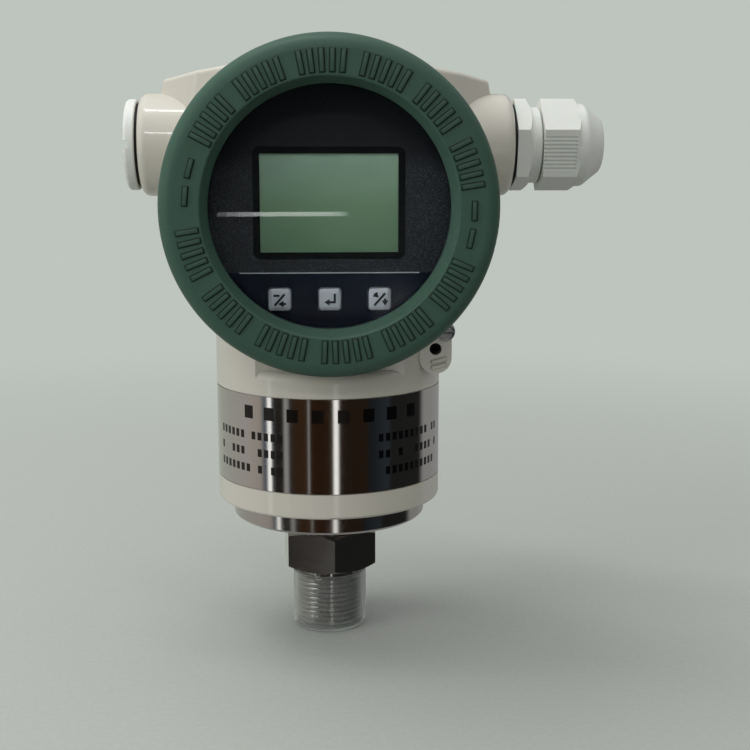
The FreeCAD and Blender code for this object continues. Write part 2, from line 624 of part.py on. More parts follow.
# ---------------------------------------------------------------- covers
def cover_skirt():
    """The part of a cover's profile that screws into the barrel, from its bore to the rim."""
    return [(COVER_SKIRT_BORE, -COVER_SKIRT_LENGTH), (COVER_SKIRT_RADIUS, -COVER_SKIRT_LENGTH),
            (COVER_SKIRT_RADIUS, -COVER_GROOVE_LENGTH), (COVER_GROOVE_RADIUS, -COVER_GROOVE_LENGTH),
            (COVER_GROOVE_RADIUS, COVER_GAP), (COVER_RADIUS, COVER_GAP, COVER_RIM_EDGE_RADIUS)]


def make_front_cover():
    """Ring with a flat face, a wall that slopes in to the window, and the window's ledge."""
    profile = cover_skirt() + [
        (COVER_RADIUS, FRONT_RIM_LENGTH, FRONT_EDGE_RADIUS),
        (FRONT_FACE_RADIUS, FRONT_RIM_LENGTH, FRONT_LIP_RADIUS), (WINDOW_RADIUS, LEDGE + WINDOW_LAND),
        (WINDOW_RADIUS, LEDGE), (COVER_SKIRT_BORE, LEDGE)]
    return turned(profile, Vector(0, -BARREL_HALF_LENGTH, HEAD_Z), FRONT)


def make_rear_cover():
    """Blind cover: a shallow dish in its back, crossed by grips for a bar."""
    inside = REAR_RIM_LENGTH - REAR_PANEL_DEPTH - REAR_WALL
    panel = REAR_RIM_LENGTH - REAR_PANEL_DEPTH
    profile = cover_skirt() + [
        (COVER_RADIUS, REAR_RIM_LENGTH, REAR_EDGE_RADIUS),
        (REAR_PANEL_RADIUS, REAR_RIM_LENGTH, REAR_PANEL_EDGE_RADIUS),
        (REAR_PANEL_RADIUS - REAR_PANEL_DEPTH, panel, REAR_PANEL_EDGE_RADIUS),
        (0, panel), (0, inside), (COVER_SKIRT_BORE, inside, REAR_CORNER_RADIUS)]
    cover = turned(profile, Vector(0, BARREL_HALF_LENGTH, HEAD_Z), BACK)
    grip_front = BARREL_HALF_LENGTH + panel - JOIN_DEPTH
    grip_back = BARREL_HALF_LENGTH + REAR_RIM_LENGTH - GRIP_SETBACK
    reach = REAR_PANEL_RADIUS + JOIN_DEPTH
    for index in range(GRIP_COUNT):
        grip = block(reach - GRIP_LENGTH, reach, grip_front, grip_back, -GRIP_WIDTH / 2, GRIP_WIDTH / 2)
        grip.rotate(Vector(0, 0, 0), BACK, 45 + index * 360 / GRIP_COUNT)
        grip.translate(Vector(0, 0, HEAD_Z))
        cover = cover.fuse(grip)
    return cover.removeSplitter()


def make_cover_seal(end_y, direction):
    offset = COVER_SEAL_SECTION + COVER_SEAL_CLEARANCE
    centre = Vector(0, end_y, HEAD_Z) - direction * offset
    return ring(COVER_GROOVE_RADIUS + offset, COVER_SEAL_SECTION, centre, direction)


def make_window_glass():
    profile = [(0, GLASS_BACK), (GLASS_OUTER_RADIUS, GLASS_BACK, GLASS_EDGE_RADIUS),
               (GLASS_OUTER_RADIUS, GLASS_FRONT, GLASS_EDGE_RADIUS), (0, GLASS_FRONT)]
    return turned(profile, Vector(0, -BARREL_HALF_LENGTH, HEAD_Z), FRONT)


def make_window_gasket():
    base = Vector(0, -BARREL_HALF_LENGTH - GLASS_FRONT, HEAD_Z)
    bore = GLASS_OUTER_RADIUS - WINDOW_GASKET_WIDTH
    return tube(GLASS_OUTER_RADIUS, bore, WINDOW_GASKET_THICKNESS, base, FRONT)


def make_glass_ring():
    """Threaded ring that holds the window, with two slots for a spanner in its back."""
    outer = COVER_SKIRT_BORE - GLASS_RING_CLEARANCE
    base = Vector(0, -BARREL_HALF_LENGTH - GLASS_BACK, HEAD_Z)
    body = tube(outer, outer - GLASS_RING_WIDTH, GLASS_RING_THICKNESS, base, BACK)
    back_y = base.y + GLASS_RING_THICKNESS
    half = SPANNER_SLOT_WIDTH / 2
    return body.cut(block(-outer, outer, back_y - SPANNER_SLOT_DEPTH, back_y, HEAD_Z - half, HEAD_Z + half))


# ---------------------------------------------------------------- display module
def key_positions():
    return [(-KEY_PITCH, HEAD_Z - KEY_DROP), (0, HEAD_Z - KEY_DROP), (KEY_PITCH, HEAD_Z - KEY_DROP)]


def square_bar(side, corner_radius, y_front, length, x, z):
    half = side / 2
    wire = rounded_wire([(x - half, z - half, corner_radius), (x + half, z - half, corner_radius),
                         (x + half, z + half, corner_radius), (x - half, z + half, corner_radius)])
    bar = Part.Face(wire).extrude(Vector(0, length, 0))
    bar.translate(Vector(0, y_front, 0))
    return bar


def post_spots():
    return [(-POST_SPACING / 2, HEAD_Z), (POST_SPACING / 2, HEAD_Z)]


def standoff_spots():
    spots = []
    for index in range(STANDOFF_COUNT):
        angle = math.radians(90 + index * 360 / STANDOFF_COUNT)
        spots.append((STANDOFF_CIRCLE * math.cos(angle), HEAD_Z + STANDOFF_CIRCLE * math.sin(angle)))
    return spots


def window_block(extra, y_front, depth):
    """Rectangular block of the display's window, grown by extra on all four sides."""
    half_width = LCD_WIDTH / 2 + extra
    half_height = LCD_HEIGHT / 2 + extra
    low = HEAD_Z + LCD_RISE - half_height
    return block(-half_width, half_width, y_front, y_front + depth, low, low + half_height * 2)


def make_display_overlay():
    disc = rod(OVERLAY_RADIUS, OVERLAY_THICKNESS, Vector(0, OVERLAY_Y, HEAD_Z), BACK)
    cuts = [window_block(0, OVERLAY_Y, OVERLAY_THICKNESS)]
    hole_side = KEY_SIDE + KEY_CLEARANCE * 2
    for x, z in key_positions():
        cuts.append(square_bar(hole_side, KEY_CORNER_RADIUS, OVERLAY_Y, OVERLAY_THICKNESS, x, z))
    return disc.cut(cuts)


def key_well_depth():
    return KEY_FLANGE_GAP + KEY_FLANGE_THICKNESS + KEY_STEM_LENGTH + KEY_TRAVEL + KEY_STOP_CLEARANCE


def make_display_case():
    """Round tray: pockets for the panel and the keys in front, room for its board behind."""
    case = rod(CASE_RADIUS, CASE_LENGTH, Vector(0, CASE_Y, HEAD_Z), BACK)
    rear_depth = CASE_LENGTH - CASE_FRONT_WALL
    well_side = KEY_SIDE + KEY_FLANGE_EXTRA * 2 + KEY_CLEARANCE * 2
    cuts = [rod(CASE_RADIUS - CASE_WALL, rear_depth, Vector(0, BOARD_SEAT_Y, HEAD_Z), BACK),
            window_block(LCD_BORDER + LCD_CLEARANCE, CASE_Y, LCD_THICKNESS + LCD_CLEARANCE)]
    for x, z in key_positions():
        cuts.append(square_bar(well_side, KEY_CORNER_RADIUS, CASE_Y, key_well_depth(), x, z))
    return case.cut(cuts)


def make_lcd_panel():
    return window_block(LCD_BORDER, CASE_Y + LCD_CLEARANCE / 2, LCD_THICKNESS)


def make_key(x, z):
    """Key cap with the flange that keeps it behind the overlay and the stem of its switch."""
    flange_y = CASE_Y + KEY_FLANGE_GAP
    flange_side = KEY_SIDE + KEY_FLANGE_EXTRA * 2
    cap_length = flange_y - (OVERLAY_Y - KEY_PROUD)
    cap = square_bar(KEY_SIDE, KEY_CORNER_RADIUS, OVERLAY_Y - KEY_PROUD, cap_length, x, z)
    front = min(cap.Faces, key=lambda face: face.CenterOfMass.y)
    cap = cap.makeFillet(KEY_EDGE_RADIUS, front.Edges)
    flange = square_bar(flange_side, KEY_CORNER_RADIUS, flange_y, KEY_FLANGE_THICKNESS, x, z)
    stem = rod(KEY_STEM_RADIUS, KEY_STEM_LENGTH, Vector(x, flange_y + KEY_FLANGE_THICKNESS, z), BACK)
    return cap.fuse([flange, stem]).removeSplitter()


def board(radius, front_y, holes):
    disc = rod(radius, BOARD_THICKNESS, Vector(0, front_y, HEAD_Z), BACK)
    return disc.cut([rod(hole, BOARD_THICKNESS, Vector(x, front_y, z), BACK) for hole, x, z in holes])


def make_display_board():
    holes = [(POST_RADIUS + POST_CLEARANCE, x, z) for x, z in post_spots()]
    return board(CASE_RADIUS - CASE_WALL - DISPLAY_BOARD_CLEARANCE, BOARD_SEAT_Y, holes)


def make_main_board():
    holes = [(POST_RADIUS + POST_CLEARANCE, x, z) for x, z in post_spots()]
    holes += [(BOARD_SCREW_RADIUS, x, z) for x, z in standoff_spots()]
    return board(MAIN_BOARD_RADIUS, MAIN_BOARD_Y, holes)


def make_display_posts():
    length = PARTITION_FRONT - BOARD_SEAT_Y
    return group([rod(POST_RADIUS, length, Vector(x, BOARD_SEAT_Y, z), BACK) for x, z in post_spots()])


def make_board_standoffs():
    y = PARTITION_FRONT - STANDOFF_HEIGHT
    return group([tube(STANDOFF_RADIUS, BOARD_SCREW_RADIUS, STANDOFF_HEIGHT, Vector(x, y, z), BACK)
                   for x, z in standoff_spots()])


def make_board_screws():
    shank = BOARD_THICKNESS + STANDOFF_HEIGHT + SCREW_DEPTH
    return group([screw(BOARD_SCREW_RADIUS, shank, BOARD_SCREW_HEAD_RADIUS, BOARD_SCREW_HEAD_HEIGHT,
                         Vector(x, MAIN_BOARD_Y, z), FRONT) for x, z in standoff_spots()])


# ---------------------------------------------------------------- terminal compartment
def block_screw_spots():
    reach = BLOCK_WIDTH / 2 + BLOCK_FOOT_WIDTH / 2
    return [(-reach, HEAD_Z - BLOCK_DROP), (reach, HEAD_Z - BLOCK_DROP)]


def terminal_spots():
    first = -(TERMINAL_COUNT - 1) / 2
    return [((first + index) * TERMINAL_PITCH, HEAD_Z - BLOCK_DROP) for index in range(TERMINAL_COUNT)]


def inner_earth_seat():
    return Vector(INNER_EARTH_X, PARTITION_BACK, HEAD_Z + INNER_EARTH_RISE)


def make_terminal_block():
    """Moulded block with a well for each terminal and a foot at each end."""
    z = HEAD_Z - BLOCK_DROP
    half_width = BLOCK_WIDTH / 2
    half_height = BLOCK_HEIGHT / 2
    back = PARTITION_BACK + BLOCK_DEPTH
    foot_reach = half_width + BLOCK_FOOT_WIDTH
    corner = BLOCK_CORNER_RADIUS
    outline = rounded_wire([(-half_width, z - half_height, corner), (half_width, z - half_height, corner),
                            (half_width, z + half_height, corner), (-half_width, z + half_height, corner)])
    body = Part.Face(outline).extrude(Vector(0, BLOCK_DEPTH, 0))
    body.translate(Vector(0, PARTITION_BACK, 0))
    body = body.fuse(block(-foot_reach, foot_reach, PARTITION_BACK, PARTITION_BACK + BLOCK_FOOT_DEPTH,
                           z - BLOCK_FOOT_HEIGHT / 2, z + BLOCK_FOOT_HEIGHT / 2))
    cuts = [rod(BLOCK_SCREW_RADIUS, BLOCK_FOOT_DEPTH, Vector(x, PARTITION_BACK, spot_z), BACK)
            for x, spot_z in block_screw_spots()]
    well_y = back - TERMINAL_WELL_DEPTH
    half = (TERMINAL_PITCH - TERMINAL_WELL_WALL) / 2
    well_floor = z - half_height + TERMINAL_WELL_FLOOR
    for x, spot_z in terminal_spots():
        cuts.append(block(x - half, x + half, well_y, back, well_floor, z + half_height))
        cuts.append(rod(TERMINAL_SHANK_RADIUS, TERMINAL_SHANK_LENGTH, Vector(x, well_y, spot_z), FRONT))
    return body.cut(cuts).removeSplitter()


def make_terminal_screws():
    y = PARTITION_BACK + BLOCK_DEPTH - TERMINAL_WELL_DEPTH
    return group([screw(TERMINAL_SHANK_RADIUS, TERMINAL_SHANK_LENGTH, TERMINAL_RADIUS, TERMINAL_HEAD_HEIGHT,
                         Vector(x, y, z), BACK) for x, z in terminal_spots()])


def make_block_screws():
    return group([screw(BLOCK_SCREW_RADIUS, BLOCK_FOOT_DEPTH + SCREW_DEPTH, BLOCK_SCREW_HEAD_RADIUS,
                         BLOCK_SCREW_HEAD_HEIGHT, Vector(x, PARTITION_BACK + BLOCK_FOOT_DEPTH, z), BACK)
                   for x, z in block_screw_spots()])


def make_inner_earth_screw():
    return screw(BLOCK_SCREW_RADIUS, SCREW_DEPTH, BLOCK_SCREW_HEAD_RADIUS, BLOCK_SCREW_HEAD_HEIGHT,
                 inner_earth_seat(), BACK)


# ---------------------------------------------------------------- lug screws
def earth_seat():
    """Spot on the lug's front face under the earth screw's washer."""
    return Vector(LUG_X + EARTH_SCREW_OUT, -LUG_FRONT, LUG_Z + EARTH_SCREW_RISE)


def make_cover_lock_screw():
    """Socket set screw, screwed below the lug's face."""
    start = Vector(LUG_X, -LUG_FRONT + LOCK_SCREW_SETBACK, LUG_Z)
    body = rod(LOCK_HOLE_RADIUS - LOCK_SCREW_CLEARANCE, LOCK_SCREW_LENGTH, start, BACK)
    return body.cut(hexagon_prism(LOCK_SOCKET_ACROSS_FLATS, LOCK_SOCKET_DEPTH, start, BACK, 0, False))


def make_earth_screw():
    seat = earth_seat() + FRONT * EARTH_WASHER_THICKNESS
    return screw(EARTH_SHANK_RADIUS, EARTH_SHANK_LENGTH + EARTH_WASHER_THICKNESS, EARTH_HEAD_RADIUS,
                 EARTH_HEAD_HEIGHT, seat, FRONT)


def make_earth_washer():
    return tube(EARTH_WASHER_RADIUS, EARTH_SHANK_RADIUS, EARTH_WASHER_THICKNESS, earth_seat(), FRONT)


# ---------------------------------------------------------------- conduit entries
def make_conduit_seal(direction):
    base = Vector(0, 0, ARM_Z) + direction * ARM_REACH
    return tube(CONDUIT_SEAL_RADIUS, CONDUIT_BORE_RADIUS, CONDUIT_SEAL_THICKNESS, base, direction)


def gland_thread_end():
    neck_end = ARM_REACH + CONDUIT_SEAL_THICKNESS + GLAND_HEX_LENGTH + GLAND_NECK_LENGTH
    return neck_end + GLAND_THREAD_LENGTH


def gland_seal_start():
    """Seat of the rubber bush in the gland's body."""
    return gland_thread_end() + GLAND_SEAL_PROUD - GLAND_SEAL_LENGTH


def make_gland_body():
    """Thread in the arm, hexagon, plain neck and the smaller thread that takes the nut."""
    hex_start = ARM_REACH + CONDUIT_SEAL_THICKNESS
    neck_start = hex_start + GLAND_HEX_LENGTH
    thread_start = neck_start + GLAND_NECK_LENGTH
    thread_end = gland_thread_end()
    inner = ARM_REACH - CONDUIT_THREAD_LENGTH
    way = CABLE_RADIUS + CABLE_CLEARANCE
    profile = [(way, inner), (CONDUIT_THREAD_RADIUS, inner), (CONDUIT_THREAD_RADIUS, hex_start + JOIN_DEPTH),
               (GLAND_NECK_RADIUS, hex_start + JOIN_DEPTH),
               (GLAND_NECK_RADIUS, thread_start, GLAND_NECK_EDGE_RADIUS),
               (GLAND_THREAD_RADIUS, thread_start), (GLAND_THREAD_RADIUS, thread_end),
               (GLAND_BORE_RADIUS, thread_end), (GLAND_BORE_RADIUS, gland_seal_start()),
               (way, gland_seal_start())]
    body = turned(profile, Vector(0, 0, ARM_Z), EAST)
    base = Vector(hex_start, 0, ARM_Z)
    prism = hexagon_prism(GLAND_ACROSS_FLATS, GLAND_HEX_LENGTH, base, EAST, GLAND_TURN, False)
    prism = prism.cut(rod(CONDUIT_THREAD_RADIUS - JOIN_DEPTH, GLAND_HEX_LENGTH, base, EAST))
    return body.fuse(prism).removeSplitter()


def make_gland_seal():
    """Rubber bush that the nut squeezes on the cable."""
    profile = [(CABLE_RADIUS, 0), (GLAND_SEAL_RADIUS, 0),
               (GLAND_SEAL_RADIUS, GLAND_SEAL_LENGTH, GLAND_SEAL_EDGE_RADIUS),
               (CABLE_RADIUS, GLAND_SEAL_LENGTH)]
    start = gland_seal_start() + NUT_GAP
    return turned(profile, Vector(start, 0, ARM_Z), EAST)


def make_gland_nut():
    """Domed nut: six-sided grip, ribbed on every second face, and a round mouth."""
    start = Vector(gland_thread_end() - GLAND_THREAD_LENGTH + NUT_GAP, 0, ARM_Z)
    grip = hexagon_prism(GLAND_ACROSS_FLATS, NUT_LENGTH, start, EAST, GLAND_TURN, False)
    total = NUT_LENGTH + NUT_DOME_LENGTH
    dome_profile = [(0, NUT_LENGTH - JOIN_DEPTH), (NUT_DOME_RADIUS, NUT_LENGTH - JOIN_DEPTH),
                    (NUT_DOME_RADIUS, NUT_LENGTH + NUT_DOME_SHOULDER, NUT_DOME_SHOULDER_RADIUS),
                    (NUT_MOUTH_RADIUS + NUT_DOME_LIP, total, NUT_DOME_LIP_RADIUS), (0, total)]
    nut = grip.fuse(turned(dome_profile, start, EAST))
    mouth = total - NUT_MOUTH_LENGTH
    bore = [(0, 0), (NUT_BORE_RADIUS, 0), (NUT_BORE_RADIUS, NUT_LENGTH + NUT_CHAMBER_EXTRA),
            (NUT_MOUTH_RADIUS + NUT_CONE_STEP, mouth), (NUT_MOUTH_RADIUS, mouth),
            (NUT_MOUTH_RADIUS, total), (0, total)]
    cuts = [turned(bore, start, EAST)]
    for face in range(NUT_RIBBED_FACES):
        for index in range(NUT_GROOVES_PER_FACE):
            offset = (index - (NUT_GROOVES_PER_FACE - 1) / 2) * NUT_GROOVE_PITCH
            foot = Vector(GLAND_ACROSS_FLATS / 2, offset, 0)
            groove = rod(NUT_GROOVE_DEPTH, NUT_LENGTH - NUT_GROOVE_END, foot, UP)
            groove.rotate(Vector(0, 0, 0), UP, GLAND_TURN + 30 + face * 120)
            cuts.append(laid_east(groove, start))
    return nut.cut(cuts).removeSplitter()


def make_conduit_plug():
    """Blanking plug: threaded shank and a round head with a slot across its face."""
    head = ARM_REACH + CONDUIT_SEAL_THICKNESS
    end = head + PLUG_HEAD_LENGTH
    inner = ARM_REACH - CONDUIT_THREAD_LENGTH
    profile = [(0, inner), (CONDUIT_THREAD_RADIUS, inner, PLUG_END_RADIUS), (CONDUIT_THREAD_RADIUS, head),
               (PLUG_RADIUS, head, PLUG_BACK_RADIUS), (PLUG_RADIUS, end, PLUG_EDGE_RADIUS), (0, end)]
    plug = turned(profile, Vector(0, 0, ARM_Z), WEST)
    half = PLUG_SLOT_WIDTH / 2
    slot_floor = -end + PLUG_SLOT_DEPTH
    return plug.cut(block(-end, slot_floor, -PLUG_RADIUS, PLUG_RADIUS, ARM_Z - half, ARM_Z + half))


# ---------------------------------------------------------------- all nodes
def make_all():
    nodes = {
        "housing": make_housing(),
        "nameplate_band": make_nameplate_band(),
        "band_rivets": make_band_rivets(),
        "sensor_body": make_sensor_body(),
        "sensor_seal": make_sensor_seal(),
        "sensor_capsule": make_sensor_capsule(),
        "thread_cap": make_thread_cap(),
        "front_cover": make_front_cover(),
        "front_cover_seal": make_cover_seal(-BARREL_HALF_LENGTH, FRONT),
        "window_glass": make_window_glass(),
        "window_gasket": make_window_gasket(),
        "glass_ring": make_glass_ring(),
        "rear_cover": make_rear_cover(),
        "rear_cover_seal": make_cover_seal(BARREL_HALF_LENGTH, BACK),
        "display_overlay": make_display_overlay(),
        "display_case": make_display_case(),
        "lcd_panel": make_lcd_panel(),
        "display_board": make_display_board(),
        "display_posts": make_display_posts(),
        "main_board": make_main_board(),
        "board_standoffs": make_board_standoffs(),
        "board_screws": make_board_screws(),
        "terminal_block": make_terminal_block(),
        "terminal_screws": make_terminal_screws(),
        "terminal_block_screws": make_block_screws(),
        "inner_earth_screw": make_inner_earth_screw(),
        "cover_lock_screw": make_cover_lock_screw(),
        "earth_screw": make_earth_screw(),
        "earth_washer": make_earth_washer(),
        "conduit_plug": make_conduit_plug(),
        "plug_seal": make_conduit_seal(WEST),
        "gland_body": make_gland_body(),
        "gland_gasket": make_conduit_seal(EAST),
        "gland_seal": make_gland_seal(),
        "gland_nut": make_gland_nut(),
    }
    for name, (x, z) in zip(("key_left", "key_middle", "key_right"), key_positions()):
        nodes[name] = make_key(x, z)
    return nodes


os.makedirs("parts", exist_ok=True)
for node_name, solid in make_all().items():
    solid.exportStep(os.path.join("parts", node_name + ".step"))
    print(node_name, "solids", len(solid.Solids), "valid", solid.isValid(), "volume", round(solid.Volume, 1))
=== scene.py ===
# %% [markdown]
# # A pressure transmitter and its finishes
# A field transmitter is a painted casting with a display behind a screwed, powder-coated
# cover. Its solids come packed at their true size. This lesson gives each solid its finish,
# and adds what is finer than the solids: raised marks, key signs and screw threads.

# %% Load the solids
import json
import math

import bmesh
import bpy
from mathutils import Matrix, Vector


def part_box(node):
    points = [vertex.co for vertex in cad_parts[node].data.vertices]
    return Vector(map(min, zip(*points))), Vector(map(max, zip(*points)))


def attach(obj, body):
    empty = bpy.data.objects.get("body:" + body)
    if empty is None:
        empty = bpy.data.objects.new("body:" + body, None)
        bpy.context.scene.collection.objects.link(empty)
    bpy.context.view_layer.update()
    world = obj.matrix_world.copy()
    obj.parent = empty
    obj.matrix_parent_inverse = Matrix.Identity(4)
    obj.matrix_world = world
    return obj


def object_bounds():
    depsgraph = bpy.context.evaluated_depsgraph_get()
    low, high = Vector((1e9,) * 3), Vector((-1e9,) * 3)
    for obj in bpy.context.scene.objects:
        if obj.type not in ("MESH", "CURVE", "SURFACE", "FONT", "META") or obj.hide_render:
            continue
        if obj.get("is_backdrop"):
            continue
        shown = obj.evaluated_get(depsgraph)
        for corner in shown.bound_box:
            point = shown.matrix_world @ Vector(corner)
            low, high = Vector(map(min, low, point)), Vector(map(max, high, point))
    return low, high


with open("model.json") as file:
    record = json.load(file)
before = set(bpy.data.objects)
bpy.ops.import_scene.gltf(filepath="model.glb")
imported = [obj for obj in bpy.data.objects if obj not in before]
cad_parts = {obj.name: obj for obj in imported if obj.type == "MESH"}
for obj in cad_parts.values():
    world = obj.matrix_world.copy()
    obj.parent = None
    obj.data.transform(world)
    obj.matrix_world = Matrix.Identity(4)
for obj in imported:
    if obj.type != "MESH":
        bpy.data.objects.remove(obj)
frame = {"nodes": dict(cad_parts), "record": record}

cad_box = [list(corner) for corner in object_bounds()]

# %% [markdown]
# ## Where things are
# Every place is read from the solids, in millimetres, so that a changed size carries
# through. The barrel's axis runs along Y through the middle of the front cover, the
# conduit's axis along X through the plug, and the neck's axis is Z itself.

# %% Measure the solids
MM = 0.001


def span(node, axis):
    """Lowest and highest value of a solid along X, Y or Z (0, 1, 2), in millimetres."""
    low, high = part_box(node)
    return low[axis] / MM, high[axis] / MM


def middle(node, axis):
    low, high = span(node, axis)
    return (low + high) / 2


HEAD = middle("front_cover", 2)
ARM = middle("conduit_plug", 2)
FACE = span("front_cover", 1)[0]
FLOOR = span("thread_cap", 2)[0]
print(f"barrel axis {HEAD:.1f} mm up, conduit axis {ARM:.1f} mm, cover face at y {FACE:.1f} mm")

# %% [markdown]
# ## The camera
# The lens is a little longer than normal. It stands level with the conduits and looks ten
# degrees down, so that the display faces us and the shoulders of the casting still show
# their tops. A camera is easiest to aim with its own three axes, which are the columns of
# its matrix.

# %% Set up the camera
LENS = 60.0
SENSOR = 36.0
EYE = Vector((-6.5, -379.5, 143.1)) * MM
LOOK_DOWN = math.radians(9.82)
LOOK_RIGHT = math.radians(3.15)

ahead = Vector((math.sin(LOOK_RIGHT), math.cos(LOOK_RIGHT), -math.tan(LOOK_DOWN))).normalized()
right = ahead.cross(Vector((0, 0, 1))).normalized()
upward = right.cross(ahead)

camera_data = bpy.data.cameras.new("camera")
camera_data.lens = LENS
camera_data.sensor_width = SENSOR
camera_data.clip_start = 0.01
camera = bpy.data.objects.new("camera", camera_data)
axes = Matrix((right, upward, -ahead)).transposed()
camera.matrix_world = Matrix.Translation(EYE) @ axes.to_4x4()
bpy.context.scene.collection.objects.link(camera)
bpy.context.scene.camera = camera
bpy.context.scene.view_settings.view_transform = "Standard"
print("camera aims along", tuple(round(v, 3) for v in ahead))

# %% [markdown]
# ## Masks as sums
# A finish is mostly masks: where a line runs, how far a groove is cut. Wrapping a socket in
# a small class lets a mask be written as plain arithmetic, and each sign adds one Math node.

# %% The socket with arithmetic
def sign(operation, swapped=False):
    """One of Python's signs, as a Math node between two values."""

    def apply(self, other):
        pair = (other, self) if swapped else (self, other)
        return self.finish.node("ShaderNodeMath", {"operation": operation}, dict(enumerate(pair)))

    return apply


class Wire:
    """The output of a node, with the signs that a mask is written in."""

    def __init__(self, finish, socket):
        self.finish = finish
        self.socket = socket

    __add__ = sign("ADD")
    __radd__ = sign("ADD", swapped=True)
    __sub__ = sign("SUBTRACT")
    __rsub__ = sign("SUBTRACT", swapped=True)
    __mul__ = sign("MULTIPLY")
    __rmul__ = sign("MULTIPLY", swapped=True)
    __truediv__ = sign("DIVIDE")
    __gt__ = sign("GREATER_THAN")
    __lt__ = sign("LESS_THAN")
    either = sign("MAXIMUM")
    angle = sign("ARCTAN2")
    repeat = sign("FLOORED_MODULO")

    def __abs__(self):
        return self.finish.node("ShaderNodeMath", {"operation": "ABSOLUTE"}, {0: self})

    def floor(self):
        return self.finish.node("ShaderNodeMath", {"operation": "FLOOR"}, {0: self})

    def wave(self):
        return self.finish.node("ShaderNodeMath", {"operation": "SINE"}, {0: self})

    def ease(self, start, end):
        """0 before start, 1 after end, and a smooth rise between them."""
        settings = {"interpolation_type": "SMOOTHSTEP"}
        return self.finish.node("ShaderNodeMapRange", settings, {0: self, 1: start, 2: end})


# %% [markdown]
# ## A finish is a small tree
# One method makes every other node: its type, then its settings, then its sockets. Colours
# are mixed by a Mix node, since a Math node would turn them grey. Its sockets share their
# names between numbers, vectors and colours, so the colours are reached by number: 6 and 7
# in, 2 out.

# %% The finish builder
def tint(red, green, blue):
    """A colour as a painter's chart gives it, 0 to 255, in the linear light that shaders use."""
    linear = [((c / 255 + 0.055) / 1.055) ** 2.4 if c > 10 else c / 255 / 12.92
              for c in (red, green, blue)]
    return (*linear, 1.0)


class Finish:
    """The nodes of one material, or of the world."""

    def __init__(self, owner):
        owner.use_nodes = True
        self.owner = owner
        self.tree = owner.node_tree
        self.tree.nodes.clear()

    def node(self, kind, settings=None, sockets=None, out=0):
        made = self.tree.nodes.new(kind)
        for key, value in (settings or {}).items():
            if key == "stops":
                self.stops(made.color_ramp, value)
            else:
                setattr(made, key, value)
        for key, value in (sockets or {}).items():
            if isinstance(value, Wire):
                self.tree.links.new(value.socket, made.inputs[key])
            else:
                made.inputs[key].default_value = value
        return Wire(self, made.outputs[out]) if made.outputs else made

    def stops(self, ramp, values):
        while len(ramp.elements) < len(values):
            ramp.elements.new(1.0)
        for element, (place, color) in zip(ramp.elements, values):
            element.position = place
            element.color = color

    def mix(self, mask, below, above):
        """The colour below where the mask is 0, and the colour above where it is 1."""
        sockets = {0: mask, 6: below, 7: above}
        return self.node("ShaderNodeMix", {"data_type": "RGBA"}, sockets, out=2)

    def blend(self, mask, below, above):
        """Two shaders by a mask."""
        return self.node("ShaderNodeMixShader", {}, {0: mask, 1: below, 2: above})

    def place(self, stretch=(1, 1, 1)):
        """The point on the object, in millimetres, squeezed along each axis by stretch."""
        where = self.node("ShaderNodeTexCoord", out="Object")
        scale = Vector(stretch) / MM
        return self.node("ShaderNodeVectorMath", {"operation": "MULTIPLY"}, {0: where, 1: scale})

    def rays(self, *names):
        """What the Light Path node says about the ray that asks."""
        outputs = self.node("ShaderNodeLightPath").socket.node.outputs
        return [Wire(self, outputs[name]) for name in names]

    def split(self, vector):
        """The three numbers of a vector."""
        parts = self.node("ShaderNodeSeparateXYZ", {}, {0: vector})
        return [Wire(self, socket) for socket in parts.socket.node.outputs]

    def xyz(self):
        """Where the point is along X, Y and Z, in millimetres."""
        return self.split(self.place())

    def length(self, first, second):
        squares = first * first + second * second
        return self.node("ShaderNodeMath", {"operation": "SQRT"}, {0: squares})

    def noise(self, grain, detail=2.0, stretch=(1, 1, 1)):
        """Smooth noise from 0 to 1, whose patches are about grain millimetres across."""
        sockets = {"Vector": self.place(stretch), "Scale": 1 / grain, "Detail": detail}
        return self.node("ShaderNodeTexNoise", {}, sockets)

    def bump(self, height, depth):
        """A relief of the given depth in millimetres."""
        return self.node("ShaderNodeBump", {}, {"Height": height, "Distance": depth * MM})

    def shader(self, color, roughness, normal=None, **fixed):
        """The Principled shader: fixed holds its other sockets, with _ for a space."""
        sockets = {"Base Color": color, "Roughness": roughness}
        if normal is not None:
            sockets["Normal"] = normal
        sockets.update({key.replace("_", " "): value for key, value in fixed.items()})
        return self.node("ShaderNodeBsdfPrincipled", {}, sockets)

    def output(self, surface, kind="ShaderNodeOutputMaterial"):
        self.node(kind, {}, {0: surface})
        return self.owner


FINISHES = {}


def finish(name):
    return Finish(bpy.data.materials.new(name))


def keep(name, material):
    """Keep a finish under its name, for the pieces that take it."""
    FINISHES[name] = material
    print(f"{name}: {len(material.node_tree.nodes)} nodes")


# %% [markdown]
# ## Two kinds of ray
# A studio can show one thing to the eye and another to polished steel. The Light Path node
# tells them apart by what a ray has met on its way. A ray through clear plastic or glass
# still counts as seen straight, so the ground behind a clear piece keeps its colour.

# %% Tell the rays apart
def seen_straight(tree):
    """1 for a ray from the eye that has met nothing, or only clear things."""
    names = ("Is Camera Ray", "Is Transmission Ray", "Glossy Depth", "Diffuse Depth")
    eye, passing, gloss, scatter = tree.rays(*names)
    return eye.either(passing * (gloss < 0.5) * (scatter < 0.5))


def mirrored(tree):
    """1 for a ray that has come off a glossy surface, and off nothing matt."""
    gloss, scatter = tree.rays("Glossy Depth", "Diffuse Depth")
    return (gloss > 0.5) * (scatter < 0.5)


# %% [markdown]
# ## The studio
# The world gives soft light that grows from below to above, at a level where a colour comes
# out as it is written. Polished steel shows only what stands round it, so the world seen in
# gloss is a ring of pale screens, dark cards and thin tubes. Each stop of a colour ramp is
# a card's edge, in degrees round the object from its front. The ring stays dark behind the
# viewer, where a bright card would veil the window.

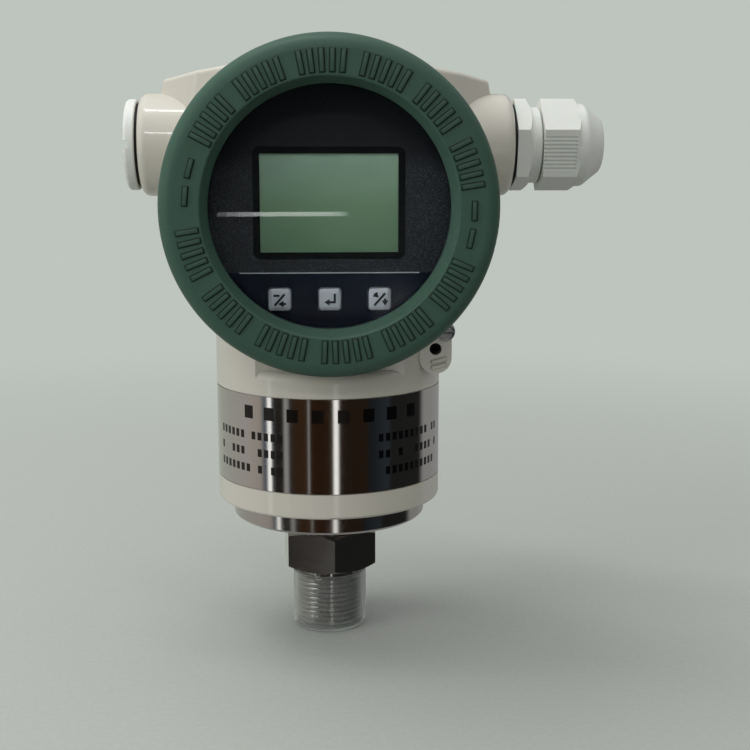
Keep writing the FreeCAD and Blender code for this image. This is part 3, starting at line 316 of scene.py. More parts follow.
# %% The ring of screens and cards
PALE_GROUND = tint(190, 196, 190)
VIEWER_HALF_ANGLE = 16.0


def card(level, warmth=0.0, green=0.0):
    """A grey card: its brightness, and the doublings towards brown and towards green."""
    return (level * 2 ** warmth, level * 2 ** green, level / 2 ** warmth, 1.0)


CARDS = [
    (-180, card(0.42, 0.02, 0.14)), (-140, card(0.38, 0.05, 0.12)), (-96, card(0.37, 0.08)),
    (-75, card(0.33, 0.15)), (-70, card(0.11, -0.3)), (-66.5, card(0.11, -0.3)),
    (-65.5, card(1.3)), (-61.5, card(1.3)),
    (-60.5, card(0.08, -0.2)), (-57, card(0.014, 0.2)), (-48, card(0.014, 0.4)), (-47, card(0.34)),
    (-43, card(0.30)), (-41, card(0.03)), (-36, card(0.020, 0.8)), (-30, card(0.020, 1.0)),
    (-22.2, card(0.020, 1.1)), (-21.7, card(0.42)), (-20.9, card(0.42)), (-20.3, card(0.012, 1.2)),
    (3.5, card(0.010, 1.1)), (4.5, card(1.3)), (8.2, card(1.3)), (9.2, card(0.010, 0.8)),
    (38, card(0.012, 0.7)), (42, card(0.014, -0.3)), (62, card(0.030, -0.3)), (66, card(0.014)),
    (106, card(0.016)), (114, card(0.28)),
]


def make_world():
    """The world's light by its direction, where z runs from -1 straight down to 1 straight up."""
    world = bpy.data.worlds.new("studio")
    bpy.context.scene.world = world
    sky = Finish(world)
    x, y, z = sky.split(sky.node("ShaderNodeTexCoord"))
    turn = x.angle(0 - y) / (2 * math.pi) + 0.5
    stops = [(degrees / 360 + 0.5, color) for degrees, color in CARDS]
    ring = sky.node("ShaderNodeValToRGB", {"stops": stops}, {0: turn})
    behind_viewer = (abs(turn - 0.5) < VIEWER_HALF_ANGLE / 360) * z.ease(-0.15, -0.09)
    ring = sky.mix(behind_viewer, ring, card(0.012, -0.3))
    overhead = sky.mix(z.ease(0.35, 0.75), ring, card(0.50))
    gloss = sky.mix((0 - z).ease(0.55, 0.9), overhead, card(0.24))
    lit = sky.mix(z.ease(-0.5, 0.9), card(0.10, 0.02), card(0.74))
    color = sky.mix(mirrored(sky), lit, gloss)
    color = sky.mix(seen_straight(sky), color, PALE_GROUND)
    sky.output(sky.node("ShaderNodeBackground", {}, {0: color, 1: 1.0}), "ShaderNodeOutputWorld")


make_world()
print("stops in the ring of cards:", len(CARDS))

# %% [markdown]
# ## The floor
# A pale board under the threaded end takes the object's shadow. It fades into the plain
# ground over half a metre, so no horizon shows. Gloss looks through it to the cards, and it
# throws back only half of the light that falls on it, so that the underside of the object
# stays in shade.

# %% Make the floor
FLOOR_RADIUS = 2500.0
FADE_START = 60.0
FADE_END = 620.0
BOUNCE = 0.5


def make_floor():
    bm = bmesh.new()
    bmesh.ops.create_circle(bm, cap_ends=True, segments=96, radius=FLOOR_RADIUS * MM)
    for vertex in bm.verts:
        vertex.co.z = FLOOR * MM
    mesh = bpy.data.meshes.new("floor")
    bm.to_mesh(mesh)
    bm.free()
    floor = bpy.data.objects.new("floor", mesh)
    bpy.context.scene.collection.objects.link(floor)
    paint = finish("floor_board")
    x, y, _ = paint.xyz()
    grain = paint.noise(1.6, 3.0)
    color = paint.mix(grain, tint(163, 167, 162), tint(173, 177, 172))
    board = paint.node("ShaderNodeBsdfDiffuse", {}, {0: color})
    ground = paint.node("ShaderNodeEmission", {}, {0: PALE_GROUND, 1: 1.0})
    far = paint.length(x, y).ease(FADE_START, FADE_END)
    surface = paint.blend(far * seen_straight(paint), board, ground)
    under = paint.node("ShaderNodeNewGeometry", out="Backfacing")
    clear = paint.node("ShaderNodeBsdfTransparent")
    scatter, = paint.rays("Diffuse Depth")
    unseen = mirrored(paint).either(under).either((scatter > 0.5) * (1 - BOUNCE))
    surface = paint.blend(unseen, surface, clear)
    mesh.materials.append(paint.output(surface))
    floor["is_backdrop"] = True


make_floor()

# %% [markdown]
# ## The lamps
# Two broad soft lamps model the forms: one overhead and a little behind, one at the left
# front. Gloss doesn't see them. It sees two long thin tubes, which draw fine bright lines
# on the round arms, and four strips far in front, which lie one over another from long to
# short, so that their one reflection on the window is brightest towards its middle.

# %% Hang the lamps
TARGET = (0, 0, HEAD)
STRIP_PLACE = (-28, -900, 91)
STRIP_SHIFT = (3, -1, 0)
STRIP_SHARES = (1.0, 0.9, 0.78, 0.6)
STRIP_LENGTH = 125.0
STRIP_HEIGHT = 4.0
STRIP_POWER = 0.0013


def lamp(name, place, size, power, seen_in_gloss=True):
    """A rectangular lamp in millimetres, aimed at the head, with its power in watts."""
    data = bpy.data.lights.new(name, "AREA")
    data.shape = "RECTANGLE"
    data.size = size[0] * MM
    data.size_y = size[1] * MM
    data.energy = power
    made = bpy.data.objects.new(name, data)
    made.location = Vector(place) * MM
    made.rotation_euler = (Vector(TARGET) - Vector(place)).to_track_quat("-Z", "Y").to_euler()
    made.visible_camera = False
    made.visible_glossy = seen_in_gloss
    bpy.context.scene.collection.objects.link(made)


lamp("overhead", (-260, 120, HEAD + 640), (420, 420), 2.4, seen_in_gloss=False)
lamp("side", (-600, -350, HEAD + 140), (360, 420), 1.6, seen_in_gloss=False)
lamp("tube_above", (-90, -130, HEAD + 640), (340, 45), 0.58)
lamp("tube_front", (-85, -700, ARM + 340), (350, 36), 0.44)
for number, share in enumerate(STRIP_SHARES):
    place = Vector(STRIP_PLACE) + Vector(STRIP_SHIFT) * number
    lamp(f"window_strip_{number}", place, (STRIP_LENGTH * share, STRIP_HEIGHT), STRIP_POWER * share)

# %% [markdown]
# ## Gloss paint on the casting
# The housing is die-cast aluminium under warm white stoving enamel. Enamel pulls smooth but
# keeps a faint orange peel, so a low bump is enough, with a slow drift in its tone. The clear
# skin of the enamel is the shader's coat: it mirrors sharply over a softer body.

# %% Casting paint
def casting():
    paint = finish("casting")
    drift = paint.noise(22.0, 2.0)
    peel = paint.noise(1.3, 1.0)
    color = paint.mix(drift, tint(196, 193, 180), tint(207, 204, 192))
    roughness = 0.30 + 0.10 * paint.noise(6.0)
    return paint.output(paint.shader(color, roughness, paint.bump(peel, 0.004),
                                     Coat_Weight=0.8, Coat_Roughness=0.03))


keep("casting", casting())

# %% [markdown]
# ## Powder coat on the covers
# Both covers are sprayed with green powder and baked. The powder melts into a skin with a
# fine pebble, which scatters the light, so the coat is satin and its colour looks even. On
# the raised marks of the front cover, shade is painted into the colour: darkest down their
# sides, so each mark reads as an outline, and a little darker on their crowns. The height
# above the face tells side from crown.

# %% Cover coat
GREEN = tint(61, 91, 78)
GREEN_LOW = tint(53, 83, 70)
GREEN_PAINTED_SHADE = tint(16, 40, 31)
RELIEF_HEIGHT = 0.6


def green_coat():
    paint = finish("green_coat")
    drift = paint.noise(14.0, 3.0)
    pebble = paint.noise(0.55, 2.0)
    color = paint.mix(drift, GREEN_LOW, GREEN)
    color = paint.mix(pebble.ease(0.62, 0.8) * 0.35, color, tint(78, 108, 94))
    roughness = 0.40 + 0.14 * pebble
    return paint.output(paint.shader(color, roughness, paint.bump(pebble, 0.03),
                                     Specular_IOR_Level=0.45))


def relief_coat_painted_shade():
    """The same coat on the raised marks, with painted shade: dark on their sides, a little darker
    on their crowns.
    """
    paint = finish("relief_coat_painted_shade")
    _, y, _ = paint.xyz()
    pebble = paint.noise(0.55, 2.0)
    crown = (FACE - y).ease(RELIEF_HEIGHT * 0.80, RELIEF_HEIGHT)
    # painted shade on the raised marks: dark down their sides, a little darker on their crowns
    color = paint.mix(crown * 0.72, GREEN_PAINTED_SHADE, GREEN)
    roughness = 0.44 + 0.12 * pebble
    return paint.output(paint.shader(color, roughness, paint.bump(pebble, 0.02),
                                     Specular_IOR_Level=0.45))


keep("green_coat", green_coat())
keep("relief_coat_painted_shade", relief_coat_painted_shade())

# %% [markdown]
# ## The plate round the neck
# A strip of polished stainless steel is wrapped round the collar and riveted at the back.
# Rolling leaves fine lines along it. Its front is laser-marked: here plain blocks, with one
# row of squares on top and three rows of small cells at each side, where a cell is left out
# by chance here and there. Marking dulls and darkens the steel, so the blocks change both
# its colour and its roughness.

# %% Plate steel
PLATE_RADIUS = span("nameplate_band", 0)[1]
PLATE_TOP = span("nameplate_band", 2)[1]
SQUARES = 8
SQUARES_TOP = 3.0
SQUARE_HEIGHT = 3.8
SQUARE_WIDTH = 3.4
SQUARE_PITCH = 7.4
ROWS = 3
ROWS_TOP = 10.6
ROW_HEIGHT = 2.3
ROW_PITCH = 4.9
FIRST_CELL = 6
LAST_CELL = 18
CELL_PITCH = 2.3
CELL_WIDTH = 1.5
CELLS_LEFT_OUT = 0.2


def blocks(along, pitch, width):
    """1 on blocks of one width, each in the middle of its pitch."""
    return abs(along.repeat(pitch) - pitch / 2) < width / 2


def marking(paint):
    """1 on the laser-marked blocks. across runs round the plate from its front, in millimetres."""
    x, y, z = paint.xyz()
    across = x.angle(0 - y) * PLATE_RADIUS
    below_squares = PLATE_TOP - z - SQUARES_TOP
    below_rows = PLATE_TOP - z - ROWS_TOP
    in_front = abs(across) < SQUARES / 2 * SQUARE_PITCH
    squares = in_front * blocks(across, SQUARE_PITCH, SQUARE_WIDTH)
    squares = squares * (below_squares > 0.0) * (below_squares < SQUARE_HEIGHT)
    side = (abs(across) > FIRST_CELL * CELL_PITCH) * (abs(across) < LAST_CELL * CELL_PITCH)
    cells = side * blocks(across, CELL_PITCH, CELL_WIDTH)
    rows = (below_rows > 0.0) * (below_rows < ROWS * ROW_PITCH)
    rows = rows * (below_rows.repeat(ROW_PITCH) < ROW_HEIGHT)
    numbers = {0: (across / CELL_PITCH).floor(), 1: (below_rows / ROW_PITCH).floor()}
    cell = paint.node("ShaderNodeCombineXYZ", {}, numbers)
    chance = paint.node("ShaderNodeTexWhiteNoise", {}, {0: cell})
    return squares.either(cells * rows * (chance > CELLS_LEFT_OUT))


def plate_steel():
    paint = finish("plate_steel")
    mark = marking(paint)
    rolled = paint.noise(0.5, 2.0, stretch=(0.06, 0.06, 1.0))
    haze = paint.noise(9.0, 2.0)
    color = paint.mix(haze, (0.60, 0.59, 0.56, 1), (0.68, 0.66, 0.63, 1))
    color = paint.mix(mark * 0.94, color, tint(22, 20, 19))
    roughness = 0.07 + 0.05 * rolled + 0.24 * mark
    return paint.output(paint.shader(color, roughness, paint.bump(rolled, 0.0015), Metallic=1.0))


keep("plate_steel", plate_steel())

# %% [markdown]
# ## Turned steel
# The sensor body is turned from bar and its hexagon milled. A lathe leaves rings at the
# pitch of its feed. They follow the height on the round sides, so noise squeezed flat
# along Z draws them, and the same rings catch the light on the flats as a faint grain. On
# faces square to the neck they are circles, drawn by a sine of the radius. Below the
# hexagon, shade is painted dark into the thread's grooves.

# %% Turned steel
HEX_FOOT = 15.5
PROCESS_PITCH = 1.5
RING_ANGLE = 22.0              # radians of the sine per millimetre: a ring every 0.29 mm


def turned_steel():
    paint = finish("turned_steel")
    x, y, z = paint.xyz()
    feed = paint.noise(0.28, 2.0, stretch=(0.04, 0.04, 1.0))
    out = paint.length(x, y)
    rings = (out * RING_ANGLE).wave() * 0.5 + 0.5
    haze = paint.noise(5.0, 3.0)
    color = paint.mix(haze, (0.52, 0.51, 0.48, 1), (0.63, 0.61, 0.58, 1))
    # painted shade in the thread's grooves below the hexagon
    groove = (z < HEX_FOOT) * (1 - (z / PROCESS_PITCH).repeat(1.0).ease(0.0, 0.5))
    color = paint.mix(groove * 0.85, color, (0.06, 0.06, 0.06, 1))
    roughness = 0.08 + 0.06 * feed + 0.04 * haze
    normal = paint.bump((feed + 0.15 * rings) * (z > HEX_FOOT), 0.003)
    return paint.output(paint.shader(color, roughness, normal, Metallic=1.0))


keep("turned_steel", turned_steel())

# %% [markdown]
# ## Small metal
# Zinc plate on the screws is bluish and a little cloudy, nickelled brass on the posts is
# warm and even, the lock screw is blackened in hot oil, and the window's ring is anodised
# black. One recipe serves all four: cloudy patches of two tones under a fine brushing.

# %% Small metal
# dull tone, bright tone, roughness, how metallic, and millimetres across a patch
SMALL_METALS = {
    "screw_steel": ((0.42, 0.43, 0.44, 1), (0.60, 0.61, 0.62, 1), 0.22, 1.0, 1.6),
    "plated_brass": ((0.60, 0.54, 0.40, 1), (0.74, 0.68, 0.54, 1), 0.16, 1.0, 2.4),
    "blackened_steel": ((0.012, 0.012, 0.013, 1), (0.022, 0.022, 0.024, 1), 0.35, 0.6, 1.2),
    "ring_aluminium": ((0.030, 0.030, 0.033, 1), (0.050, 0.050, 0.055, 1), 0.30, 0.7, 3.0),
}


def small_metal(name, dull, bright, base_roughness, metallic, cloud):
    paint = finish(name)
    patches = paint.noise(cloud, 3.0)
    brushed = paint.noise(0.18, 2.0, stretch=(1.0, 0.15, 0.15))
    color = paint.mix(patches, dull, bright)
    roughness = base_roughness + 0.14 * patches + 0.05 * brushed
    return paint.output(paint.shader(color, roughness, paint.bump(brushed, 0.004),
                                     Metallic=metallic))


for name, recipe in SMALL_METALS.items():
    keep(name, small_metal(name, *recipe))

# %% [markdown]
# ## Rubber and black moulding
# O-rings are matt with a trace of talc in the low places. The display's case is moulded
# against a spark-eroded tool, which prints a fine even grit.

# %% Rubber and moulding
def black_rubber():
    paint = finish("black_rubber")
    talc = paint.noise(1.1, 4.0)
    skin = paint.noise(0.25, 2.0)
    color = paint.mix(talc.ease(0.5, 0.8) * 0.5, tint(17, 17, 17), tint(44, 44, 43))
    return paint.output(paint.shader(color, 0.55 + 0.2 * talc, paint.bump(skin, 0.012)))


def dark_moulding():
    paint = finish("dark_moulding")
    grit = paint.noise(0.22, 2.0)
    drift = paint.noise(8.0, 2.0)
    color = paint.mix(drift, tint(22, 22, 24), tint(33, 33, 36))
    return paint.output(paint.shader(color, 0.42 + 0.16 * grit, paint.bump(grit, 0.03)))


keep("black_rubber", black_rubber())
keep("dark_moulding", dark_moulding())

# %% [markdown]
# ## White nylon
# The plug and the gland are moulded in white nylon. Nylon lets light a little way in, so
# it looks soft, and the mould leaves a satin face with faint flow marks.

# %% Nylon
def white_nylon():
    paint = finish("white_nylon")
    flow = paint.noise(7.0, 3.0, stretch=(0.4, 1.0, 1.0))
    satin = paint.noise(0.35, 2.0)
    color = paint.mix(flow, tint(214, 217, 212), tint(226, 228, 223))
    roughness = 0.34 + 0.12 * satin
    return paint.output(paint.shader(color, roughness, paint.bump(satin, 0.008),
                                     Subsurface_Weight=0.15, Subsurface_Scale=0.002))


keep("white_nylon", white_nylon())

# %% [markdown]
# ## Window and cap: clear and cloudy
# Glass needs its shadow made clear, or the display behind it would be dark: where a shadow
# ray asks, the window answers with a Transparent shader. The thread's cap is thin clear
# polyethylene. It is slightly cloudy, so it passes light with a little roughness, and its
# index is set low, so that the thread shows through it without much bending.

# %% Clear materials
def lets_lamps_through(paint, shader, share):
    """A clear piece whose shadow is clear too."""
    shadow_ray, = paint.rays("Is Shadow Ray")
    clear = paint.node("ShaderNodeBsdfTransparent")
    return paint.output(paint.blend(shadow_ray * share, shader, clear))


def window_glass():
    paint = finish("window_glass")
    smear = paint.noise(18.0, 3.0)
    roughness = 0.006 * smear
    shader = paint.shader((0.95, 0.98, 0.97, 1), roughness, IOR=1.5, Transmission_Weight=1.0)
    return lets_lamps_through(paint, shader, 0.92)


def clear_plastic():
    paint = finish("clear_plastic")
    cloud = paint.noise(4.0, 3.0)
    skin = paint.noise(3.0, 1.0)
    color = paint.mix(cloud, tint(212, 216, 213), tint(230, 233, 230))
    roughness = 0.15 + 0.06 * cloud
    shader = paint.shader(color, roughness, paint.bump(skin, 0.004),
                          IOR=1.35, Transmission_Weight=0.92)
    return lets_lamps_through(paint, shader, 0.7)


keep("window_glass", window_glass())
keep("clear_plastic", clear_plastic())

# %% [markdown]
# ## The printed front film
# A printed film covers the display's case. Its upper field is charcoal with a fine mica
# sparkle, and painted shade turns it black towards the top. Its lower field is plain navy,
# with a hairline between them and a black frame round the display's window. Distances from
# the window's edge make the frame, as a box with rounded corners: the length of what lies
# outside a smaller box, less the corner's radius.

# %% Front film
LCD_MIDDLE = middle("lcd_panel", 2)
LCD_LAP = 1.5
WINDOW_HALF_WIDTH = span("lcd_panel", 0)[1] - LCD_LAP
WINDOW_HALF_HEIGHT = span("lcd_panel", 2)[1] - LCD_MIDDLE - LCD_LAP
FRAME_WIDTH = 2.0
FRAME_CORNER = 2.2
LINE_DROP = 18.3
LINE_HALF_LENGTH = 25.0
LINE_HALF_WIDTH = 0.13
PAINTED_SHADE_FROM = 8.0
PAINTED_SHADE_TO = 15.0


def past_box(paint, across, up, half_width, half_height, corner):
    """Distance out from a box with rounded corners, in millimetres."""
    out = (abs(across) - (half_width - corner)).either(0.0)
    over = (abs(up) - (half_height - corner)).either(0.0)
    return paint.length(out, over) - corner


def overlay_film():
    paint = finish("overlay_film")
    x, _, z = paint.xyz()
    up = z - LCD_MIDDLE
    below_axis = HEAD - z
    frame_edge = past_box(paint, x, up, WINDOW_HALF_WIDTH + FRAME_WIDTH,
                          WINDOW_HALF_HEIGHT + FRAME_WIDTH, FRAME_CORNER)
    in_frame = 1 - frame_edge.ease(-0.08, 0.08)
    hairline = (abs(below_axis - LINE_DROP) < LINE_HALF_WIDTH) * (abs(x) < LINE_HALF_LENGTH)
    mica = paint.noise(0.34, 1.0)
    drift = paint.noise(12.0, 2.0)
    field = paint.mix(drift, tint(28, 31, 37), tint(38, 42, 47))
    field = paint.mix(mica.ease(0.52, 0.72) * 0.6, field, tint(104, 107, 112))
    # painted shade: the upper field darkens to black towards the top
    field = paint.mix(up.ease(PAINTED_SHADE_FROM, PAINTED_SHADE_TO) * 0.82, field, tint(9, 11, 19))
    lower = paint.mix(drift, tint(12, 20, 33), tint(17, 26, 40))
    is_lower = below_axis.ease(LINE_DROP - 0.1, LINE_DROP + 0.1)
    color = paint.mix(is_lower, field, lower)
    color = paint.mix(in_frame, color, tint(7, 8, 9))
    color = paint.mix((abs(frame_edge) < 0.12) * 0.35, color, tint(60, 64, 64))
    color = paint.mix(hairline * 0.9, color, tint(214, 218, 220))
    grain = mica * (1 - in_frame) * (1 - is_lower)
    roughness = 0.22 + 0.22 * grain
    return paint.output(paint.shader(color, roughness, paint.bump(grain, 0.008)))


keep("overlay_film", overlay_film())

# %% [markdown]
# ## The display
# The display is off, so it shows only its grey-green reflector behind the glass, with a
# painted reflection that makes it paler towards the top. The cell is also a touch paler near
# its edge, where its seal holds the two plates apart, and a slow cloud keeps it from looking
# like flat paint.

# %% Display cell
LCD_TONES_AND_PAINTED_REFLECTION = [(0.0, tint(98, 133, 102)), (0.45, tint(122, 157, 122)), (1.0, tint(166, 198, 176))]


def lcd_face():
    paint = finish("lcd_face")
    x, _, z = paint.xyz()
    up = (z - LCD_MIDDLE) / WINDOW_HALF_HEIGHT
    # painted reflection: the reflector's colour grows paler towards the top
    tone = paint.node("ShaderNodeValToRGB", {"stops": LCD_TONES_AND_PAINTED_REFLECTION}, {0: up * 0.5 + 0.5})
    cloud = paint.noise(9.0, 2.0)
    color = paint.mix(cloud.ease(0.35, 0.75) * 0.25, tone, tint(128, 156, 132))
    rim = 0 - past_box(paint, x, z - LCD_MIDDLE, WINDOW_HALF_WIDTH, WINDOW_HALF_HEIGHT, 0.6)
    color = paint.mix((1 - rim.ease(0.1, 0.9)) * 0.35, color, tint(132, 160, 140))
    weave = paint.noise(0.3, 1.0)
    return paint.output(paint.shader(color, 0.30 + 0.08 * weave, paint.bump(weave, 0.004)))


keep("lcd_face", lcd_face())

# %% [markdown]
# ## Keys and boards
# The keys are pale grey silicone with a satin skin and signs in matt black ink. The boards
# carry green solder mask over copper: a brick pattern stands for the tracks, with tinned
# pads on a square grid.

# %% Keys and boards
PAD_PITCH = 5.0
PAD_WIDTH = 1.2


def key_plastic():
    paint = finish("key_plastic")
    satin = paint.noise(0.3, 2.0)
    drift = paint.noise(5.0, 2.0)
    color = paint.mix(drift, tint(196, 201, 211), tint(208, 212, 220))
    return paint.output(paint.shader(color, 0.38 + 0.14 * satin, paint.bump(satin, 0.006)))


def key_sign():
    paint = finish("key_sign")
    ink = paint.noise(0.5, 2.0)
    color = paint.mix(ink, tint(16, 17, 20), tint(30, 31, 35))
    return paint.output(paint.shader(color, 0.4 + 0.1 * ink, paint.bump(ink, 0.004)))


def circuit_board():
    paint = finish("circuit_board")
    x, _, z = paint.xyz()
    flat = paint.node("ShaderNodeCombineXYZ", {}, {0: x, 1: z})
    sockets = {"Vector": flat, "Scale": 0.4, "Mortar Size": 0.035}
    track = paint.node("ShaderNodeTexBrick", {}, sockets, out="Fac")
    pads = (x.repeat(PAD_PITCH) < PAD_WIDTH) * (z.repeat(PAD_PITCH) < PAD_WIDTH)
    color = paint.mix(track, tint(18, 84, 44), tint(34, 112, 62))
    color = paint.mix(pads, color, tint(186, 188, 186))
    roughness = 0.32 - 0.08 * pads
    return paint.output(paint.shader(color, roughness, paint.bump(track.either(pads), 0.03)))


keep("key_plastic", key_plastic())
keep("key_sign", key_sign())
keep("circuit_board", circuit_board())

# %% [markdown]
# ## Put the finishes on
# The record says which finish each solid takes. Only the contents of its material slots
# change: the solids themselves stay as they are. The cover's lock screw shares its slot's
# name with the bright screws, and gets its black finish by its own name.

# %% Dress the solids
OWN_FINISH = {"cover_lock_screw": "blackened_steel"}

for part in frame["record"]["subparts"]:
    wanted = OWN_FINISH.get(part["node"], part["material_slot"])
    for slot in frame["nodes"][part["node"]].material_slots:
        slot.material = FINISHES[wanted]

# %% [markdown]
# ## From a mesh to a piece
# Each extra piece is built in millimetres, in place, and then told two things: the body it
# moves with and its material. Its faces are smooth, and only edges that turn more than a
# set angle stay sharp. Every piece here is a loft, a row of closed outlines joined one to
# the next.

# %% The piece helper
SHARP = math.radians(32)


def piece(name, bm, body, material, sharp=SHARP):
    """A finished piece from a bmesh in millimetres, riding on a body."""
    bmesh.ops.scale(bm, vec=(MM, MM, MM), verts=bm.verts)
    bmesh.ops.recalc_face_normals(bm, faces=bm.faces)
    for face in bm.faces:
        face.smooth = True
    for edge in bm.edges:
        if len(edge.link_faces) == 2 and edge.calc_face_angle() > sharp:
            edge.smooth = False
    mesh = bpy.data.meshes.new(name)
    bm.to_mesh(mesh)
    bm.free()
    made = bpy.data.objects.new(name, mesh)
    bpy.context.scene.collection.objects.link(made)
    mesh.materials.append(material)
    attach(made, body)
    print(f"{name}: {len(mesh.polygons)} faces, on {body}")


def loft(bm, rings):
    """Faces between closed rings of points, with both ends filled."""
    loops = [[bm.verts.new(point) for point in ring] for ring in rings]
    for low, high in zip(loops, loops[1:]):
        for i in range(len(low)):
            j = (i + 1) % len(low)
            bm.faces.new((low[i], low[j], high[j], high[i]))
    bm.faces.new(loops[0])
    bm.faces.new(loops[-1])


# %% [markdown]
# ## Raised marks on the cover
# The real cover has raised characters cast into its face, in an upper and a lower arc. In
# their place stand plain bars in even groups, with two dashes between the arcs at each
# side. A bar is a loft of four outlines: a wide foot, a waist, a shoulder and a smaller
# crown, so that it has a cast foot and a softened edge without any modifier. A dash is the
# same bar, laid along the circle.

# %% Cast the marks
MARK_INNER = 35.2
MARK_OUTER = 41.0
BAR_HALF_WIDTH = 0.56
GROUP = 5
GROUPS = 6
ARCS = ((152, 9), (189, 337))
DASHES = (164, 175, -1, -12)
DASH_HALF_LENGTH = 2.4
DASH_HALF_WIDTH = 0.55
# how far each outline of a bar spreads past its size, and its share of the bar's height
BAR_SECTION = ((0.38, -0.05), (0.16, 0.22), (0.04, 0.82), (-0.14, 1.0))


def bar(bm, angle, low, high, half_width):
    """A raised bar on the cover's face, across the circle at an angle, from low to high radius."""
    out = Vector((math.cos(angle), 0, math.sin(angle)))
    side = Vector((-math.sin(angle), 0, math.cos(angle)))
    rings = []
    for spread, share in BAR_SECTION:
        height = Vector((0, FACE - share * RELIEF_HEIGHT, HEAD))
        corners = [(low - spread, -1), (high + spread, -1), (high + spread, 1), (low - spread, 1)]
        rings.append([height + out * radius + side * way * (half_width + spread)
                      for radius, way in corners])
    loft(bm, rings)


def arc_of_bars(bm, start, end):
    """Bars round from one angle to another, in degrees. A missing bar parts two groups."""
    steps = GROUPS * (GROUP + 1) - 2
    for step in range(steps + 1):
        if step % (GROUP + 1) != GROUP:
            angle = math.radians(start + (end - start) * step / steps)
            bar(bm, angle, MARK_INNER, MARK_OUTER, BAR_HALF_WIDTH)


def cover_relief():
    bm = bmesh.new()
    for start, end in ARCS:
        arc_of_bars(bm, start, end)
    radius = (MARK_INNER + MARK_OUTER) / 2
    low, high = radius - DASH_HALF_WIDTH, radius + DASH_HALF_WIDTH
    for angle in DASHES:
        bar(bm, math.radians(angle), low, high, DASH_HALF_LENGTH)
    piece("cover_relief", bm, "front_cover", FINISHES["relief_coat_painted_shade"])


cover_relief()

# %% [markdown]
# ## Faces of the keys
# Each key is a pillow: its face stands up from a sloping edge, which catches the light at
# the top. Four rounded squares make it: two at the foot, one where the slope ends, and a
# slightly smaller one that rounds the last tenth of its height.

# %% Shape the keys' faces
KEY_FRONT = span("key_middle", 1)[0]
PILLOW_HALF = 2.95
PILLOW_RISE = 0.5
PILLOW_SHARP = math.radians(12)
CORNER_STEPS = 4
# how far in each outline lies, the radius of its corners, and its height over the key
PILLOW_SECTION = ((0.0, 1.0, -0.1), (0.0, 1.0, 0.02), (0.85, 0.5, 0.46), (1.05, 0.4, PILLOW_RISE))


def key_centre(name):
    return Vector((middle(name, 0), KEY_FRONT, middle(name, 2)))


def rounded_square(centre, half, corner, y):
    """Points round a square with rounded corners, at one depth."""
    points = []
    for quarter in range(4):
        for part in range(CORNER_STEPS + 1):
            turn = math.radians(90 * (quarter + part / CORNER_STEPS))
            spot = Vector((math.cos(turn), 0, math.sin(turn))) * corner
            corner_x = (half - corner) * (1 if quarter in (0, 3) else -1)
            corner_z = (half - corner) * (1 if quarter in (0, 1) else -1)
            points.append(Vector((centre.x + corner_x, y, centre.z + corner_z)) + spot)
    return points


def key_pillow(name):
    bm = bmesh.new()
    centre = key_centre(name)
    loft(bm, [rounded_square(centre, PILLOW_HALF - inset, corner, KEY_FRONT - rise)
              for inset, corner, rise in PILLOW_SECTION])
    piece(name + "_pillow", bm, name, FINISHES["key_plastic"], PILLOW_SHARP)


print(f"the pillows' faces lie at y {KEY_FRONT - PILLOW_RISE:.1f} mm")

# %% [markdown]
# ## Signs on the keys
# A sign is a thin print of strokes and arrowheads, drawn as flat outlines and lifted a
# twentieth of a millimetre. The heads lie a hair higher than the strokes, since two faces
# at one height would flicker. The outer keys have a slanted stroke with small arrows beside
# it, and the middle one an enter arrow. Each key gets its pillow and its sign together.

# %% Raise and print the keys
SIGN_SUNK = 0.04
SIGN_LIFT = 0.05
ARROW_LIFT = 0.07
STROKE_HALF_WIDTH = 0.32
ARROW_LENGTH = 1.5
ARROW_HALF_WIDTH = 0.95


def flat(point):
    """A point across and up on a key, as a vector."""
    return Vector((point[0], 0, point[1]))


def plate(bm, outline, lift):
    """A thin plate on the pillow's face."""
    sunk = Vector((0, SIGN_SUNK - PILLOW_RISE, 0))
    proud = Vector((0, -PILLOW_RISE - lift, 0))
    loft(bm, [[p + sunk for p in outline], [p + proud for p in outline]])


def stroke(bm, centre, start, end):
    """A straight stroke of a sign, between two points across and up from the key's centre."""
    along = (flat(end) - flat(start)).normalized()
    side = Vector((-along.z, 0, along.x)) * STROKE_HALF_WIDTH
    first = centre + flat(start) - along * STROKE_HALF_WIDTH / 2
    last = centre + flat(end) + along * STROKE_HALF_WIDTH / 2
    plate(bm, [first - side, last - side, last + side, first + side], SIGN_LIFT)


def arrowhead(bm, centre, tip, way):
    """A pointed head at tip, aimed along way."""
    along = flat(way)
    side = Vector((-along.z, 0, along.x)) * ARROW_HALF_WIDTH
    point = centre + flat(tip)
    back = point - along * ARROW_LENGTH
    plate(bm, [point, back - side, back + side], ARROW_LIFT)


# for each key its strokes, from point to point, and its arrowheads, each with a tip and a way
SIGNS = {
    "key_left": ([((-1.35, -1.5), (1.25, 1.45)), ((-1.6, 1.15), (-0.2, 1.15)),
                  ((1.55, -1.15), (0.2, -1.15))],
                 [((-0.45, -1.15), (-1, 0))]),
    "key_middle": ([((1.35, 1.5), (1.35, -0.75)), ((1.35, -0.75), (-0.4, -0.75))],
                   [((-1.6, -0.75), (-1, 0))]),
    "key_right": ([((-1.45, -1.6), (1.35, 1.55)), ((1.45, 0.1), (1.45, -0.7)),
                   ((-1.4, 1.5), (-1.0, 1.1))],
                  [((1.45, -1.8), (0, -1)), ((-0.35, 0.45), (0.7, -0.7))]),
}


def key_print(name):
    strokes, heads = SIGNS[name]
    bm = bmesh.new()
    centre = key_centre(name)
    for start, end in strokes:
        stroke(bm, centre, start, end)
    for tip, way in heads:
        arrowhead(bm, centre, tip, way)
    piece(name + "_sign", bm, name, FINISHES["key_sign"])


for key in SIGNS:
    key_pillow(key)
    key_print(key)

